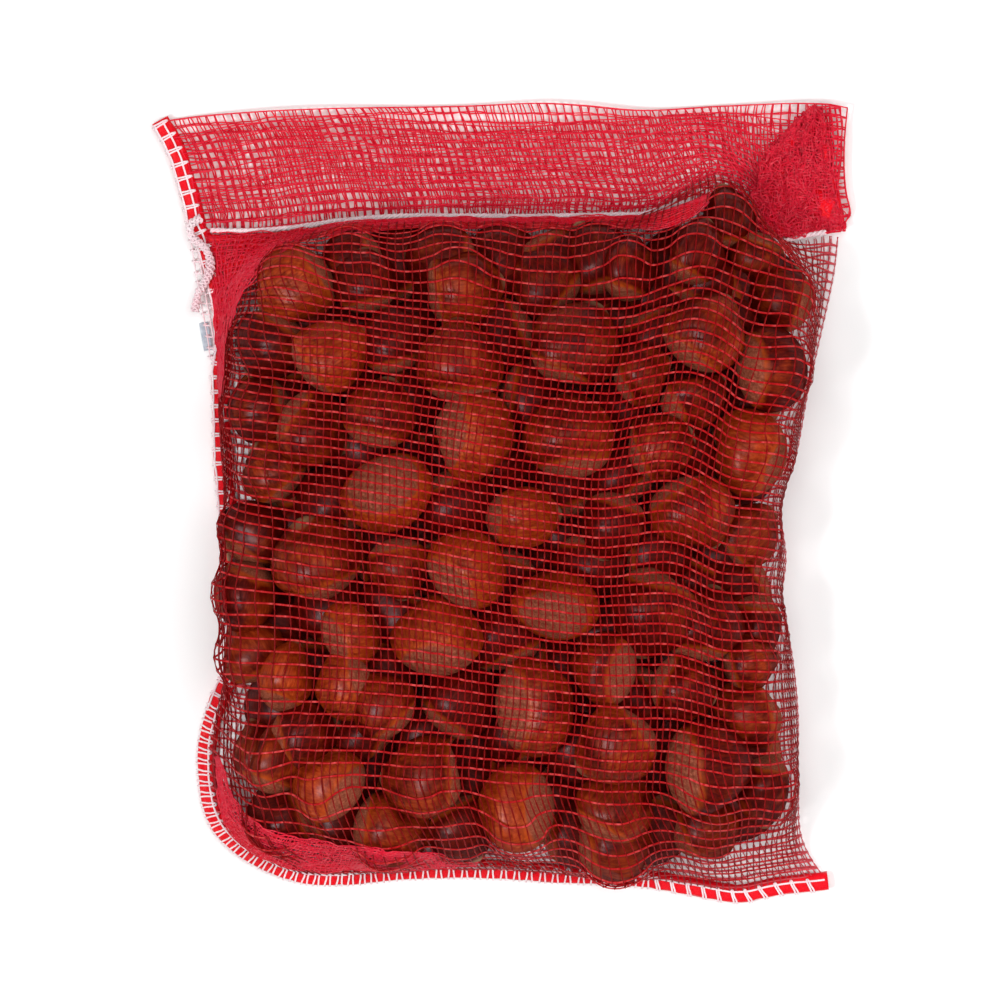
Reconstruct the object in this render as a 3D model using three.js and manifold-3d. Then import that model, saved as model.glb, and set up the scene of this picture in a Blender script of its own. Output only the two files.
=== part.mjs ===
// A red net bag of chestnuts lying on its back, in millimetres: +Z up, +Y towards the hem,
// the origin on the surface it lies on, below the middle of its box.
// The bag is one solid: a low core with the chestnuts that show fused on, the flat empty
// margins of the net, the folded hem and the gathered edge. White threads are nodes of their own.

import * as THREE from "three";
import { mergeVertices } from "three/addons/utils/BufferGeometryUtils.js";
import Module from "manifold-3d";

const wasm = await Module();
wasm.setup();

// ---- Driving dimensions -------------------------------------------------------------------

const GAP = 0.3; // kept between pieces that touch

// Flat net and hem, heights above the surface
const NET_BOTTOM = 1.0;
const NET_TOP = 3.2; // two layers of slack net
const HEM_TOP = 4.4; // a doubled hem, so four layers
const HEM_LIFT = 2.2; // how far the hem's free edge rises in its waves
const HEM_WAVES = 2.5; // waves along the hem
const HEM_OVERHANG = 1.4; // past the flat layers below it
const HEM_GRID = { columns: 16, rows: 3 };

// Gathered edge under the overlock stitches
const EDGE_WIDTH = 4.2;
const EDGE_TOP = 4.0;

// White overlock thread, a ladder along the edge
const THREAD = 0.6;
const STITCH_PITCH = 4.8;
const LADDER_WIDTH = 3.9;
const LADDER_ENDS = [0.002, 0.998]; // shares of the line that it follows

// Where the front and back layers' edges lie apart, below the drawstring's end
const SPLIT = { from: 44, to: 90, by: 3.1, fullness: 0.7 }; // y, y, distance, exponent
const BACK_LADDER = { from: 54, to: 80, width: 1.8 };

// White drawstring and its loose tail
const CORD_DIAMETER = 1.8;
const CORD_HEIGHT = 4.3; // of its axis, half sunk in the hem
const CORD_SIDES = 6;
const CORD_STEPS = 28;
const TAIL_DIAMETER = 2.4;
const TAIL_HEIGHT = 6.6;

// The heap
const HEAP_HEIGHT = 57;
const HEAP_SHOULDER = 70; // how far in from the heap's outline its full height is reached
const HEAP_CURVE = [2.6, 0.42]; // exponents of its rise
const CORE_DROP = 18; // the core's surface below the tops of the chestnuts
const CORE_RINGS = [0.85, 0.8, 0.73, 0.6, 0.42, 0.2];
const CORE_FOOT = [0.8, 14]; // scale of the flat rest face, height of the core's widest ring
const CORE_WALL = 3; // the least height of the core's upper rings above that
const CORE_SIDES = 24;

// A chestnut's half sizes as shares of its width
const NUT = { side: 0.5, dome: 0.42, flat: 0.34, tip: 0.5, base: 0.41, point: 0.07 };
const NUT_TIP = { narrowing: 0.1, sharpness: 12 };
const NUT_AROUND = 7;
const NUT_ALONG = { near: 5, deep: 4 }; // of those at the surface, of those lower down
const DEEP = 6; // depth from which a chestnut of the upper layer shows little
const LOWER_CLEARANCE = 0.8; // lowest point of a chestnut above the surface
const UPPER_CLEARANCE = 5.6; // above the stitched edge too, which some lie over

// Chestnuts of the lower layer that show from the sides, in a ring inside the heap's outline
const LOWER_WIDTH = 28;
const LOWER_COUNT = 23;
const LOWER_SCALE = 0.79; // of the outline that their centres follow
const LOWER_TURN = 137; // from one to the next, in degrees

// Steps along the sampled curves
const STEPS = { heap: 120, edge: 52, fold: 23, top: 16, tail: 14 };

// Outlines from above, anticlockwise, each a smooth curve through its points
const LEFT_AND_BOTTOM_EDGE = [
  [-116, 125.7], [-111, 116.5], [-106.8, 103.3], [-103.8, 90.1], [-100.5, 70.3], [-97.2, 52],
  [-96.2, 38], [-95.5, 14], [-93.9, -4], [-92.2, -32], [-92.4, -54], [-96.9, -65], [-100.5, -79],
  [-100.6, -92], [-97.4, -106], [-89.6, -115.5], [-78, -122.4], [-66.5, -126.2], [-53.3, -126.9],
  [-33.5, -125.1], [-10, -124.5], [19.3, -126.1], [45.7, -127.4], [63.9, -130.4], [78.7, -132.7],
  [92, -130.2], [108.7, -128.4],
];
const RIGHT_FOLD = [
  [108.9, -126.5], [102.5, -117.8], [99.3, -110], [98.5, -92], [98.3, -68], [95.9, -47], [93, -34],
  [94.4, -18], [92.8, -1], [97.6, 15], [101.8, 37.3], [105.1, 52.1], [110.4, 76.9], [111.7, 88.4],
];
const HEM_RIGHT_END = [[113.2, 92.4], [115.9, 95.2], [114.3, 104], [113.8, 117], [114.9, 131.2]];
const TOP_EDGE = [
  [112, 132.2], [98, 132.7], [72, 131.8], [45.7, 130.4], [26, 132], [12, 132.7], [-14, 131.8],
  [-56.6, 131], [-82, 129.9], [-101, 128.4], [-114, 126.6],
];
const HEM_LOW = [[-97, 89], [-56, 91], [0, 93], [60, 96], [92, 85], [112.6, 91]];
const HEM_TOP_LEFT = [-107.5, 127.4];
const HEAP = [
  [-56, 91], [-84, 73], [-94, 45], [-91, 15], [-95, -20], [-95, -48], [-92, -80], [-82, -106],
  [-52, -118], [0, -117], [36, -122], [66, -116], [92, -104], [96, -75], [92, -38], [93, -2],
  [100, 25], [104, 55], [96, 77], [78, 97], [60, 96], [30, 92], [-20, 92],
];
const DRAWSTRING = [
  [-104.6, 90.8], [-83, 90.4], [-66.5, 91.8], [-56.6, 93.4], [-33.5, 95.2], [-7, 95.2], [19, 95.3],
  [46, 96], [52, 96.4], [55.5, 98.6], [63, 99.6], [72, 96], [82, 90], [88, 88.3], [92, 86.9],
  [96, 87.6], [102, 89], [110.6, 90.4], [115.6, 90.8],
];
const THREAD_TAIL = [
  [-99.6, 94.6], [-103.2, 92], [-102.4, 88], [-98.4, 84.6], [-96.6, 80], [-97.6, 74.5],
  [-100.6, 69.6], [-101.8, 63.6],
];

// Right end of the hem, where the net is bunched: centre and half sizes
const BUNCH = { at: [99.5, 110, 3.6], half: [12, 18, 4.6], sides: 12, rings: 6 };

// End of a paper label caught in the seam: place, length, width, thickness, turn in degrees
const LABEL = { at: [-98.2, 55.4, 0.5], size: [9.4, 3, 0.3], turn: 100 };

// The chestnuts of the upper layer, row by row from the hem:
// x, y, width, direction of the tip in degrees, how it lies, depth below the heap's surface
const UPPER_CHESTNUTS = [
  [-49, 80, 23, 200, "dome", 7], [-19, 79.5, 26, 170, "dome", 5], [-1, 79.5, 26, 30, "dome", 7],
  [15, 79.5, 26, 300, "dome", 6], [32, 80, 26, 120, "dome", 6], [41, 76, 24, 80, "edge", 1],
  [63, 81, 24, 70, "edge", 0], [74, 92, 24, 92, "edge", 3], [84, 81, 20, 250, "dome", 4],
  [-66.5, 72, 27.5, 215, "dome", 0], [-44, 72, 23, 100, "dome", 6], [-14, 71, 29, 10, "dome", 2],
  [15, 72, 26, 140, "dome", 8], [93, 67, 23, 160, "dome", 2],
  [-80, 53, 26, 240, "dome", 6], [-56.6, 48, 27, 35, "dome", 0], [-35, 52, 24, 100, "dome", 6],
  [-13.7, 44.5, 31, 95, "dome", 0], [23.3, 50, 31, 60, "dome", 0], [45, 42, 22, 20, "dome", 7],
  [66, 55.5, 28, 54, "dome", 0], [88, 44.5, 29, 5, "rim", 0], [62, 34, 25, 35, "edge", 6],
  [-83, 30, 26, 190, "dome", 5], [-63, 25, 27, 330, "dome", 4], [-40, 28, 25, 75, "dome", 2],
  [-9.7, 21.5, 32, 350, "rim", 0], [22.6, 20.8, 31, 100, "dome", 0], [51, 18.5, 24, 20, "dome", 2],
  [82, 16.8, 30, 160, "dome", 0],
  [-75, 10, 23, 130, "dome", 3], [-37.6, 4.3, 33, 300, "face", 0], [6, -4, 27, 5, "edge", 4],
  [36.5, -6.3, 23, 250, "dome", 4], [62.2, -2.3, 30, 307, "dome", 0], [80, -11, 24, 40, "dome", 4],
  [-82, -10.5, 24, 60, "dome", 5], [-60.5, -19.8, 30.5, 110, "dome", 0],
  [-34, -20.5, 22, 280, "dome", 7], [-12, -22, 28, 45, "rim", 0], [-83.5, -29.4, 27, 260, "edge", 0],
  [17.7, -34.3, 31, 75, "face", 0], [49.7, -33.7, 32, 250, "dome", 0], [67, -42, 28, 80, "dome", 3],
  [84, -40, 26, 275, "edge", 4],
  [-50, -43.5, 23, 20, "rim", 4], [-21, -44.5, 31, 92, "rim", 0], [-82, -50, 24, 120, "dome", 4],
  [-70.8, -58.4, 25, 75, "edge", 0], [-50.6, -60, 24, 200, "rim", 3], [81, -53, 20, 15, "dome", 1],
  [34, -55, 26, 170, "rim", 5], [59, -60, 23, 340, "dome", 4], [-38.4, -66.6, 24, 130, "dome", 1],
  [11, -66.6, 33, 5, "rim", 0], [82, -69, 25, 195, "dome", 4],
  [38.4, -78.2, 29.5, 215, "dome", 0], [-66, -76, 25, 20, "dome", 4], [-75, -85.5, 25, 80, "edge", 0],
  [-80, -84, 24, 100, "edge", 8], [-56, -92.4, 26.5, 150, "rim", 0], [-24.3, -89.8, 29, 180, "dome", 0],
  [67, -88, 34, 5, "rim", 0], [87, -93, 26, 270, "edge", 2], [6, -101, 31, 180, "rim", 0],
  [36.5, -100, 29, 60, "dome", 4], [-73, -104, 24, 200, "dome", 3], [-37.5, -107, 27, 350, "dome", 2],
  [66, -107, 25, 30, "dome", 4], [36.5, -112, 29, 10, "dome", 3], [-14, -106, 24, 300, "dome", 6],
];
const LEAN = { dome: 8, rim: 38, face: 78, edge: 8 }; // how far the base turns up, in degrees
const ROLL = { dome: 0, rim: 0, face: 0, edge: 75 }; // turn about the chestnut's own axis

// ---- Helpers ------------------------------------------------------------------------------

const radians = THREE.MathUtils.degToRad;

function smooth(points, count, closed = false) {
  const through = points.map(([x, y]) => new THREE.Vector3(x, y, 0));
  const curve = new THREE.CatmullRomCurve3(through, closed, "centripetal");
  const line = curve.getSpacedPoints(count);
  return closed ? line.slice(0, -1) : line;
}

// A row of points moved to the left of its direction of travel.
function shifted(line, distance) {
  return line.map((point, i) => {
    const along = line[Math.min(i + 1, line.length - 1)].clone().sub(line[Math.max(i - 1, 0)]);
    along.normalize();
    return new THREE.Vector3(point.x - along.y * distance, point.y + along.x * distance, 0);
  });
}

function solid(geometry) {
  const bare = geometry.index ? geometry.toNonIndexed() : geometry.clone();
  bare.deleteAttribute("normal");
  bare.deleteAttribute("uv");
  const merged = mergeVertices(bare, 1e-4);
  return new wasm.Manifold(
    new wasm.Mesh({
      numProp: 3,
      vertProperties: Float32Array.from(merged.attributes.position.array),
      triVerts: Uint32Array.from(merged.index.array),
    }),
  );
}

function geometryOf(manifold) {
  const { vertProperties, triVerts } = manifold.getMesh();
  const geometry = new THREE.BufferGeometry();
  geometry.setAttribute("position", new THREE.BufferAttribute(vertProperties, 3));
  geometry.setIndex(new THREE.BufferAttribute(triVerts, 1));
  geometry.computeVertexNormals();
  return geometry;
}

function join(solids) {
  return solids.reduce((all, one) => all.add(one));
}

// A closed mesh through rings of equal length, from the lowest to the highest.
function stacked(rings, lowest, highest) {
  const sides = rings[0].length;
  const points = [...rings.flat(), lowest, highest];
  const [bottom, top] = [points.length - 2, points.length - 1];
  const faces = [];
  for (let i = 0; i < sides; i++) {
    const next = (i + 1) % sides;
    faces.push(bottom, next, i);
    faces.push(top, (rings.length - 1) * sides + i, (rings.length - 1) * sides + next);
    for (let ring = 0; ring < rings.length - 1; ring++) {
      const [low, high] = [ring * sides, (ring + 1) * sides];
      faces.push(low + i, low + next, high + next, low + i, high + next, high + i);
    }
  }
  const geometry = new THREE.BufferGeometry().setFromPoints(points);
  geometry.setIndex(faces);
  return geometry;
}

// A bar of rectangular section swept along a level line of points.
function bar(line, left, right, bottom, top) {
  const [a, b] = [shifted(line, left), shifted(line, right)];
  const section = (i) => [
    new THREE.Vector3(a[i].x, a[i].y, bottom), new THREE.Vector3(a[i].x, a[i].y, top),
    new THREE.Vector3(b[i].x, b[i].y, top), new THREE.Vector3(b[i].x, b[i].y, bottom),
  ];
  const rings = line.map((_, i) => section(i));
  const middle = (ring) => ring.reduce((sum, p) => sum.add(p), new THREE.Vector3()).divideScalar(4);
  return stacked(rings, middle(rings[0]), middle(rings.at(-1)));
}

function round(diameter, sides) {
  return new THREE.Shape(
    Array.from({ length: sides }, (_, i) => {
      const angle = ((i + 0.5) / sides) * 2 * Math.PI;
      return new THREE.Vector2((Math.cos(angle) * diameter) / 2, (Math.sin(angle) * diameter) / 2);
    }),
  );
}

function tube(line, height, diameter, sides) {
  const through = line.map(({ x, y }) => new THREE.Vector3(x, y, height));
  const extrudePath = new THREE.CatmullRomCurve3(through, false, "centripetal");
  return new THREE.ExtrudeGeometry(round(diameter, sides), { extrudePath, steps: line.length - 1 });
}

// ---- The heap -----------------------------------------------------------------------------

const heapLine = smooth(HEAP, STEPS.heap, true);

function insideBy(x, y) {
  const inside = heapLine.reduce((odd, a, i) => {
    const b = heapLine[(i + 1) % heapLine.length];
    const crosses = a.y > y !== b.y > y && x < ((b.x - a.x) * (y - a.y)) / (b.y - a.y) + a.x;
    return crosses ? !odd : odd;
  }, false);
  const distance = Math.min(...heapLine.map((point) => Math.hypot(point.x - x, point.y - y)));
  return inside ? distance : -distance;
}

// Height of the heap's surface, steep at its outline and level in the middle.
function crown(x, y) {
  const share = THREE.MathUtils.clamp(insideBy(x, y) / HEAP_SHOULDER, 0, 1);
  return HEAP_HEIGHT * (1 - (1 - share) ** HEAP_CURVE[0]) ** HEAP_CURVE[1];
}

function core() {
  const outline = smooth(HEAP, CORE_SIDES, true);
  const [footScale, footHeight] = CORE_FOOT;
  const ring = (scale, height) =>
    outline.map(({ x, y }) => new THREE.Vector3(x * scale, y * scale, height(x * scale, y * scale)));
  const rings = [ring(footScale, () => 0), ring(CORE_RINGS[0], () => footHeight)];
  for (const scale of CORE_RINGS)
    rings.push(ring(scale, (x, y) => Math.max(crown(x, y) - CORE_DROP, footHeight + CORE_WALL)));
  const top = new THREE.Vector3(0, 0, crown(0, 0) - CORE_DROP);
  return solid(stacked(rings, new THREE.Vector3(0, 0, 0), top));
}

// One chestnut about its centre: tip along +Z, domed cheek along +Y, flatter cheek along -Y.
function chestnutForm(width, rings) {
  const geometry = new THREE.SphereGeometry(1, NUT_AROUND, rings).rotateX(Math.PI / 2);
  const points = geometry.getAttribute("position");
  for (let i = 0; i < points.count; i++) {
    const [x, y, z] = [points.getX(i), points.getY(i), points.getZ(i)];
    const narrowing = 1 - NUT_TIP.narrowing * Math.max(z, 0) ** 2;
    const height = z > 0 ? NUT.tip * z + NUT.point * z ** NUT_TIP.sharpness : NUT.base * z;
    points.setXYZ(
      i,
      NUT.side * width * x * narrowing,
      (y > 0 ? NUT.dome : NUT.flat) * width * y * narrowing,
      width * height,
    );
  }
  return geometry;
}

function chestnut(x, y, z, width, turn, lies, rings) {
  const tip = new THREE.Vector3(Math.cos(radians(turn)), Math.sin(radians(turn)), 0);
  const across = new THREE.Vector3(-tip.y, tip.x, 0);
  tip.applyAxisAngle(across, radians(LEAN[lies]));
  const dome = new THREE.Vector3().crossVectors(tip, across).applyAxisAngle(tip, radians(ROLL[lies]));
  const side = new THREE.Vector3().crossVectors(dome, tip);
  const placed = new THREE.Matrix4().makeBasis(side, dome, tip).setPosition(x, y, z);
  return solid(chestnutForm(width, rings).applyMatrix4(placed));
}

function upperChestnuts() {
  return UPPER_CHESTNUTS.map(([x, y, width, turn, lies, depth]) => {
    const lowest = (lies === "edge" ? NUT.side : NUT.dome) * width + UPPER_CLEARANCE;
    const height = Math.max(crown(x, y) - NUT.dome * width - depth, lowest);
    const rings = depth < DEEP ? NUT_ALONG.near : NUT_ALONG.deep;
    return chestnut(x, y, height, width, turn, lies, rings);
  });
}

function lowerChestnuts() {
  const height = NUT.dome * LOWER_WIDTH + LOWER_CLEARANCE;
  return smooth(HEAP, LOWER_COUNT, true).map(({ x, y }, i) => {
    const [across, along] = [x * LOWER_SCALE, y * LOWER_SCALE];
    return chestnut(across, along, height, LOWER_WIDTH, LOWER_TURN * i, "dome", NUT_ALONG.deep);
  });
}

// ---- The net ------------------------------------------------------------------------------

const edgeLine = smooth(LEFT_AND_BOTTOM_EDGE, STEPS.edge);
const seamLine = apart(edgeLine);
const topLine = shifted(smooth(TOP_EDGE, STEPS.top), HEM_OVERHANG);
const cordLine = smooth(DRAWSTRING, CORD_STEPS);
const hemRight = HEM_RIGHT_END.map(([x, y]) => new THREE.Vector3(x, y, 0));

// The front layer's edge, which leaves the back layer's for a stretch and comes back to it.
function apart(line) {
  return shifted(line, 1).map((inner, i) => {
    const outer = line[i];
    const share = THREE.MathUtils.clamp((outer.y - SPLIT.from) / (SPLIT.to - SPLIT.from), 0, 1);
    const distance = outer.x < 0 ? SPLIT.by * Math.sin(Math.PI * share) ** SPLIT.fullness : 0;
    return outer.clone().lerp(inner, distance);
  });
}

function flatNet() {
  const outline = [...edgeLine, ...smooth(RIGHT_FOLD, STEPS.fold), ...hemRight, ...topLine];
  const shape = new THREE.Shape(outline.map(({ x, y }) => new THREE.Vector2(x, y)));
  const depth = NET_TOP - NET_BOTTOM;
  const sheet = new THREE.ExtrudeGeometry(shape, { depth, bevelEnabled: false });
  return solid(sheet.translate(0, 0, NET_BOTTOM));
}

// The hem from the drawstring to its free edge, which rises in soft waves.
function hem() {
  const { columns, rows } = HEM_GRID;
  const low = smooth(HEM_LOW, columns);
  const high = smooth([...TOP_EDGE.slice(0, -1), HEM_TOP_LEFT].reverse(), columns);
  const lift = (u, v) => (HEM_LIFT * v * v * (1 - Math.cos(2 * Math.PI * HEM_WAVES * u))) / 2;
  const face = (height) => {
    const grid = [];
    for (let j = 0; j <= rows; j++)
      for (let i = 0; i <= columns; i++) {
        const [u, v] = [i / columns, j / rows];
        const point = low[i].clone().lerp(high[i], v);
        grid.push(point.setZ(height + lift(u, v)));
      }
    return grid;
  };
  const points = [...face(NET_BOTTOM), ...face(HEM_TOP)];
  const across = columns + 1;
  const layer = across * (rows + 1);
  const faces = [];
  for (let j = 0; j < rows; j++)
    for (let i = 0; i < columns; i++) {
      const [a, b] = [j * across + i, j * across + i + 1];
      const [c, d] = [a + across, b + across];
      faces.push(a, d, b, a, c, d);
      faces.push(a + layer, b + layer, d + layer, a + layer, d + layer, c + layer);
    }
  const rim = [];
  for (let i = 0; i < columns; i++) rim.push(i);
  for (let j = 0; j < rows; j++) rim.push(j * across + columns);
  for (let i = columns; i > 0; i--) rim.push(rows * across + i);
  for (let j = rows; j > 0; j--) rim.push(j * across);
  rim.forEach((a, k) => {
    const b = rim[(k + 1) % rim.length];
    faces.push(a, b, b + layer, a, b + layer, a + layer);
  });
  const geometry = new THREE.BufferGeometry().setFromPoints(points);
  geometry.setIndex(faces);
  return solid(geometry);
}

function bunchedEnd() {
  const { at, half, sides, rings } = BUNCH;
  const mound = new THREE.SphereGeometry(1, sides, rings).scale(...half).translate(...at);
  const [wide, long, deep] = half.map((size) => 4 * size);
  const below = new THREE.BoxGeometry(wide, long, deep).translate(at[0], at[1], NET_BOTTOM - deep / 2);
  return solid(mound).subtract(solid(below));
}

function gatheredEdge() {
  return solid(bar(seamLine, EDGE_WIDTH, 0, NET_BOTTOM, EDGE_TOP));
}

function netBag() {
  const whole = join([
    core(), ...lowerChestnuts(), ...upperChestnuts(), flatNet(), hem(), bunchedEnd(), gatheredEdge(),
  ]);
  const passage = solid(tube(cordLine, CORD_HEIGHT, CORD_DIAMETER + 2 * GAP, CORD_SIDES));
  return geometryOf(largest(whole.subtract(passage)));
}

// The bag without the crumbs that the passage may cut loose.
function largest(manifold) {
  const parts = manifold.decompose();
  return parts.reduce((best, part) => (part.volume() > best.volume() ? part : best));
}

// ---- White threads ------------------------------------------------------------------------

// Overlock thread along a stretch of edge: two running threads joined by the cross stitches.
function ladder(line, width, height) {
  const curve = new THREE.CatmullRomCurve3(line, false, "centripetal");
  const stitches = Math.round(curve.getLength() / STITCH_PITCH);
  const at = (share, inward) => {
    const [point, along] = [curve.getPointAt(share), curve.getTangentAt(share)];
    return new THREE.Vector2(point.x - along.y * inward, point.y + along.x * inward);
  };
  const half = THREAD / 2 / curve.getLength();
  const [start, end] = LADDER_ENDS;
  const share = (i) => THREE.MathUtils.lerp(start + half, end - half, i / stitches);
  const outer = Array.from({ length: stitches + 1 }, (_, i) => at(share(i), 0));
  const inner = Array.from({ length: stitches + 1 }, (_, i) => at(share(stitches - i), width));
  const frame = new THREE.Shape([
    at(start, 0), ...outer.slice(1, -1), at(end, 0),
    at(end, width), ...inner.slice(1, -1), at(start, width),
  ]);
  for (let i = 0; i < stitches; i++) {
    const [from, to] = [share(i) + half, share(i + 1) - half];
    const window = [at(from, THREAD), at(from, width - THREAD), at(to, width - THREAD), at(to, THREAD)];
    frame.holes.push(new THREE.Path(window));
  }
  const flat = new THREE.ExtrudeGeometry(frame, { depth: THREAD, bevelEnabled: false });
  return flat.translate(0, 0, height);
}

function edgeStitching() {
  return ladder(seamLine, LADDER_WIDTH, EDGE_TOP + GAP);
}

function backEdgeStitching() {
  const shows = ({ x, y }) => x < 0 && y > BACK_LADDER.from && y < BACK_LADDER.to;
  return ladder(edgeLine.filter(shows), BACK_LADDER.width, NET_TOP + GAP);
}

function drawstring() {
  return tube(cordLine.slice(1, -1), CORD_HEIGHT, CORD_DIAMETER, CORD_SIDES);
}

function threadTail() {
  return tube(smooth(THREAD_TAIL, STEPS.tail), TAIL_HEIGHT, TAIL_DIAMETER, CORD_SIDES);
}

function labelEnd() {
  const slip = new THREE.BoxGeometry(...LABEL.size).rotateZ(radians(LABEL.turn));
  return slip.translate(...LABEL.at);
}

// ---- Scene graph --------------------------------------------------------------------------

function part(name, geometry, colour, roughness) {
  const material = new THREE.MeshStandardMaterial({ color: colour, roughness, metalness: 0 });
  const mesh = new THREE.Mesh(geometry, material);
  mesh.name = name;
  return mesh;
}

const bag = new THREE.Group();
bag.add(
  part("net_bag", netBag(), 0x8e1f1a, 0.55),
  part("edge_stitching", edgeStitching(), 0xf4dcdf, 0.8),
  part("back_edge_stitching", backEdgeStitching(), 0xf4dcdf, 0.8),
  part("drawstring", drawstring(), 0xf7e6e6, 0.75),
  part("thread_tail", threadTail(), 0xf2e2e2, 0.85),
  part("label_end", labelEnd(), 0xb9c4cf, 0.7),
);

export default bag;
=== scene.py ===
"""A red net bag of chestnuts lying on its back on a white surface, seen from above.

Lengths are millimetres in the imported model's frame until a mesh is made, which is in metres:
+X right, +Y towards the hem, +Z up out of the face shown. Every sheet of the net is a grid of
crossings that is drawn tight over the chestnuts, and its threads are tubes along the grid's lines.
"""

import math

import bpy
import numpy as np
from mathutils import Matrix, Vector


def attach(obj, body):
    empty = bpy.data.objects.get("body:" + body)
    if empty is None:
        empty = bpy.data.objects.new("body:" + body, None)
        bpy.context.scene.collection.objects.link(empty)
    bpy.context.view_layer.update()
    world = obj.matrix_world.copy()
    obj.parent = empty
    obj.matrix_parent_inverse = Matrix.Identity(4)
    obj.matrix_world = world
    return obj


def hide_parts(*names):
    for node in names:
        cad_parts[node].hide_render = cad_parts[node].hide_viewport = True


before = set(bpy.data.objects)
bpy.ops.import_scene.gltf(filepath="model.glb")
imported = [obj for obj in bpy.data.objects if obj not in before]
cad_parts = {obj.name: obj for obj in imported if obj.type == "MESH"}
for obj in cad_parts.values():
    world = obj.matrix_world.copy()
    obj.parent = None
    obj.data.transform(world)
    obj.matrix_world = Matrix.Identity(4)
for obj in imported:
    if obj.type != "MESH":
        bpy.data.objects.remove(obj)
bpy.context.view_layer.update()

MM = 0.001

# ---- The bag's sizes and outlines, as in the model's source --------------------------------

NET_BOTTOM = 1.0
HEM_LIFT = 2.2  # of the waves along the hem's free edge
HEM_WAVES = 2.5
EDGE_TOP = 4.0  # of the gathered edge
CORD_HEIGHT = 4.3
TAIL_HEIGHT = 6.6
SPLIT = {"from": 44, "to": 90, "by": 3.1}  # where the two layers' edges lie apart

LABEL = {"at": (-98.2, 55.4, 0.5), "size": (9.4, 3.0, 0.3), "turn": 100}

HEAP_HEIGHT = 57
HEAP_SHOULDER = 70
NUT = {"side": 0.5, "dome": 0.42, "flat": 0.34, "tip": 0.5, "base": 0.41, "point": 0.07}
LOWER_CLEARANCE = 0.8
UPPER_CLEARANCE = 5.6
LOWER_WIDTH = 28
LOWER_COUNT = 23
LOWER_SCALE = 0.79

LEFT_AND_BOTTOM_EDGE = [
    (-116, 125.7), (-111, 116.5), (-106.8, 103.3), (-103.8, 90.1), (-100.5, 70.3), (-97.2, 52),
    (-96.2, 38), (-95.5, 14), (-93.9, -4), (-92.2, -32), (-92.4, -54), (-96.9, -65),
    (-100.5, -79), (-100.6, -92), (-97.4, -106), (-89.6, -115.5), (-78, -122.4), (-66.5, -126.2),
    (-53.3, -126.9), (-33.5, -125.1), (-10, -124.5), (19.3, -126.1), (45.7, -127.4),
    (63.9, -130.4), (78.7, -132.7), (92, -130.2), (108.7, -128.4),
]
RIGHT_FOLD = [
    (108.9, -126.5), (102.5, -117.8), (99.3, -110), (98.5, -92), (98.3, -68), (95.9, -47),
    (93, -34), (94.4, -18), (92.8, -1), (97.6, 15), (101.8, 37.3), (105.1, 52.1), (110.4, 76.9),
    (111.7, 88.4),
]
HEM_RIGHT_END = [(113.2, 92.4), (115.9, 95.2), (114.3, 104), (113.8, 117), (114.9, 131.2)]
TOP_EDGE = [
    (112, 132.2), (98, 132.7), (72, 131.8), (45.7, 130.4), (26, 132), (12, 132.7), (-14, 131.8),
    (-56.6, 131), (-82, 129.9), (-101, 128.4), (-114, 126.6),
]
HEAP = [
    (-56, 91), (-84, 73), (-94, 45), (-91, 15), (-95, -20), (-95, -48), (-92, -80), (-82, -106),
    (-52, -118), (0, -117), (36, -122), (66, -116), (92, -104), (96, -75), (92, -38), (93, -2),
    (100, 25), (104, 55), (96, 77), (78, 97), (60, 96), (30, 92), (-20, 92),
]
DRAWSTRING = [
    (-104.6, 90.8), (-83, 90.4), (-66.5, 91.8), (-56.6, 93.4), (-33.5, 95.2), (-7, 95.2),
    (19, 95.3), (46, 96), (52, 96.4), (55.5, 98.6), (63, 99.6), (72, 96), (82, 90), (88, 88.3),
    (92, 86.9), (96, 87.6), (102, 89), (110.6, 90.4), (115.6, 90.8),
]
THREAD_TAIL = [
    (-99.6, 94.6), (-103.2, 92), (-102.4, 88), (-98.4, 84.6), (-96.6, 80), (-97.6, 74.5),
    (-100.6, 69.6), (-101.8, 63.6),
]

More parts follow.
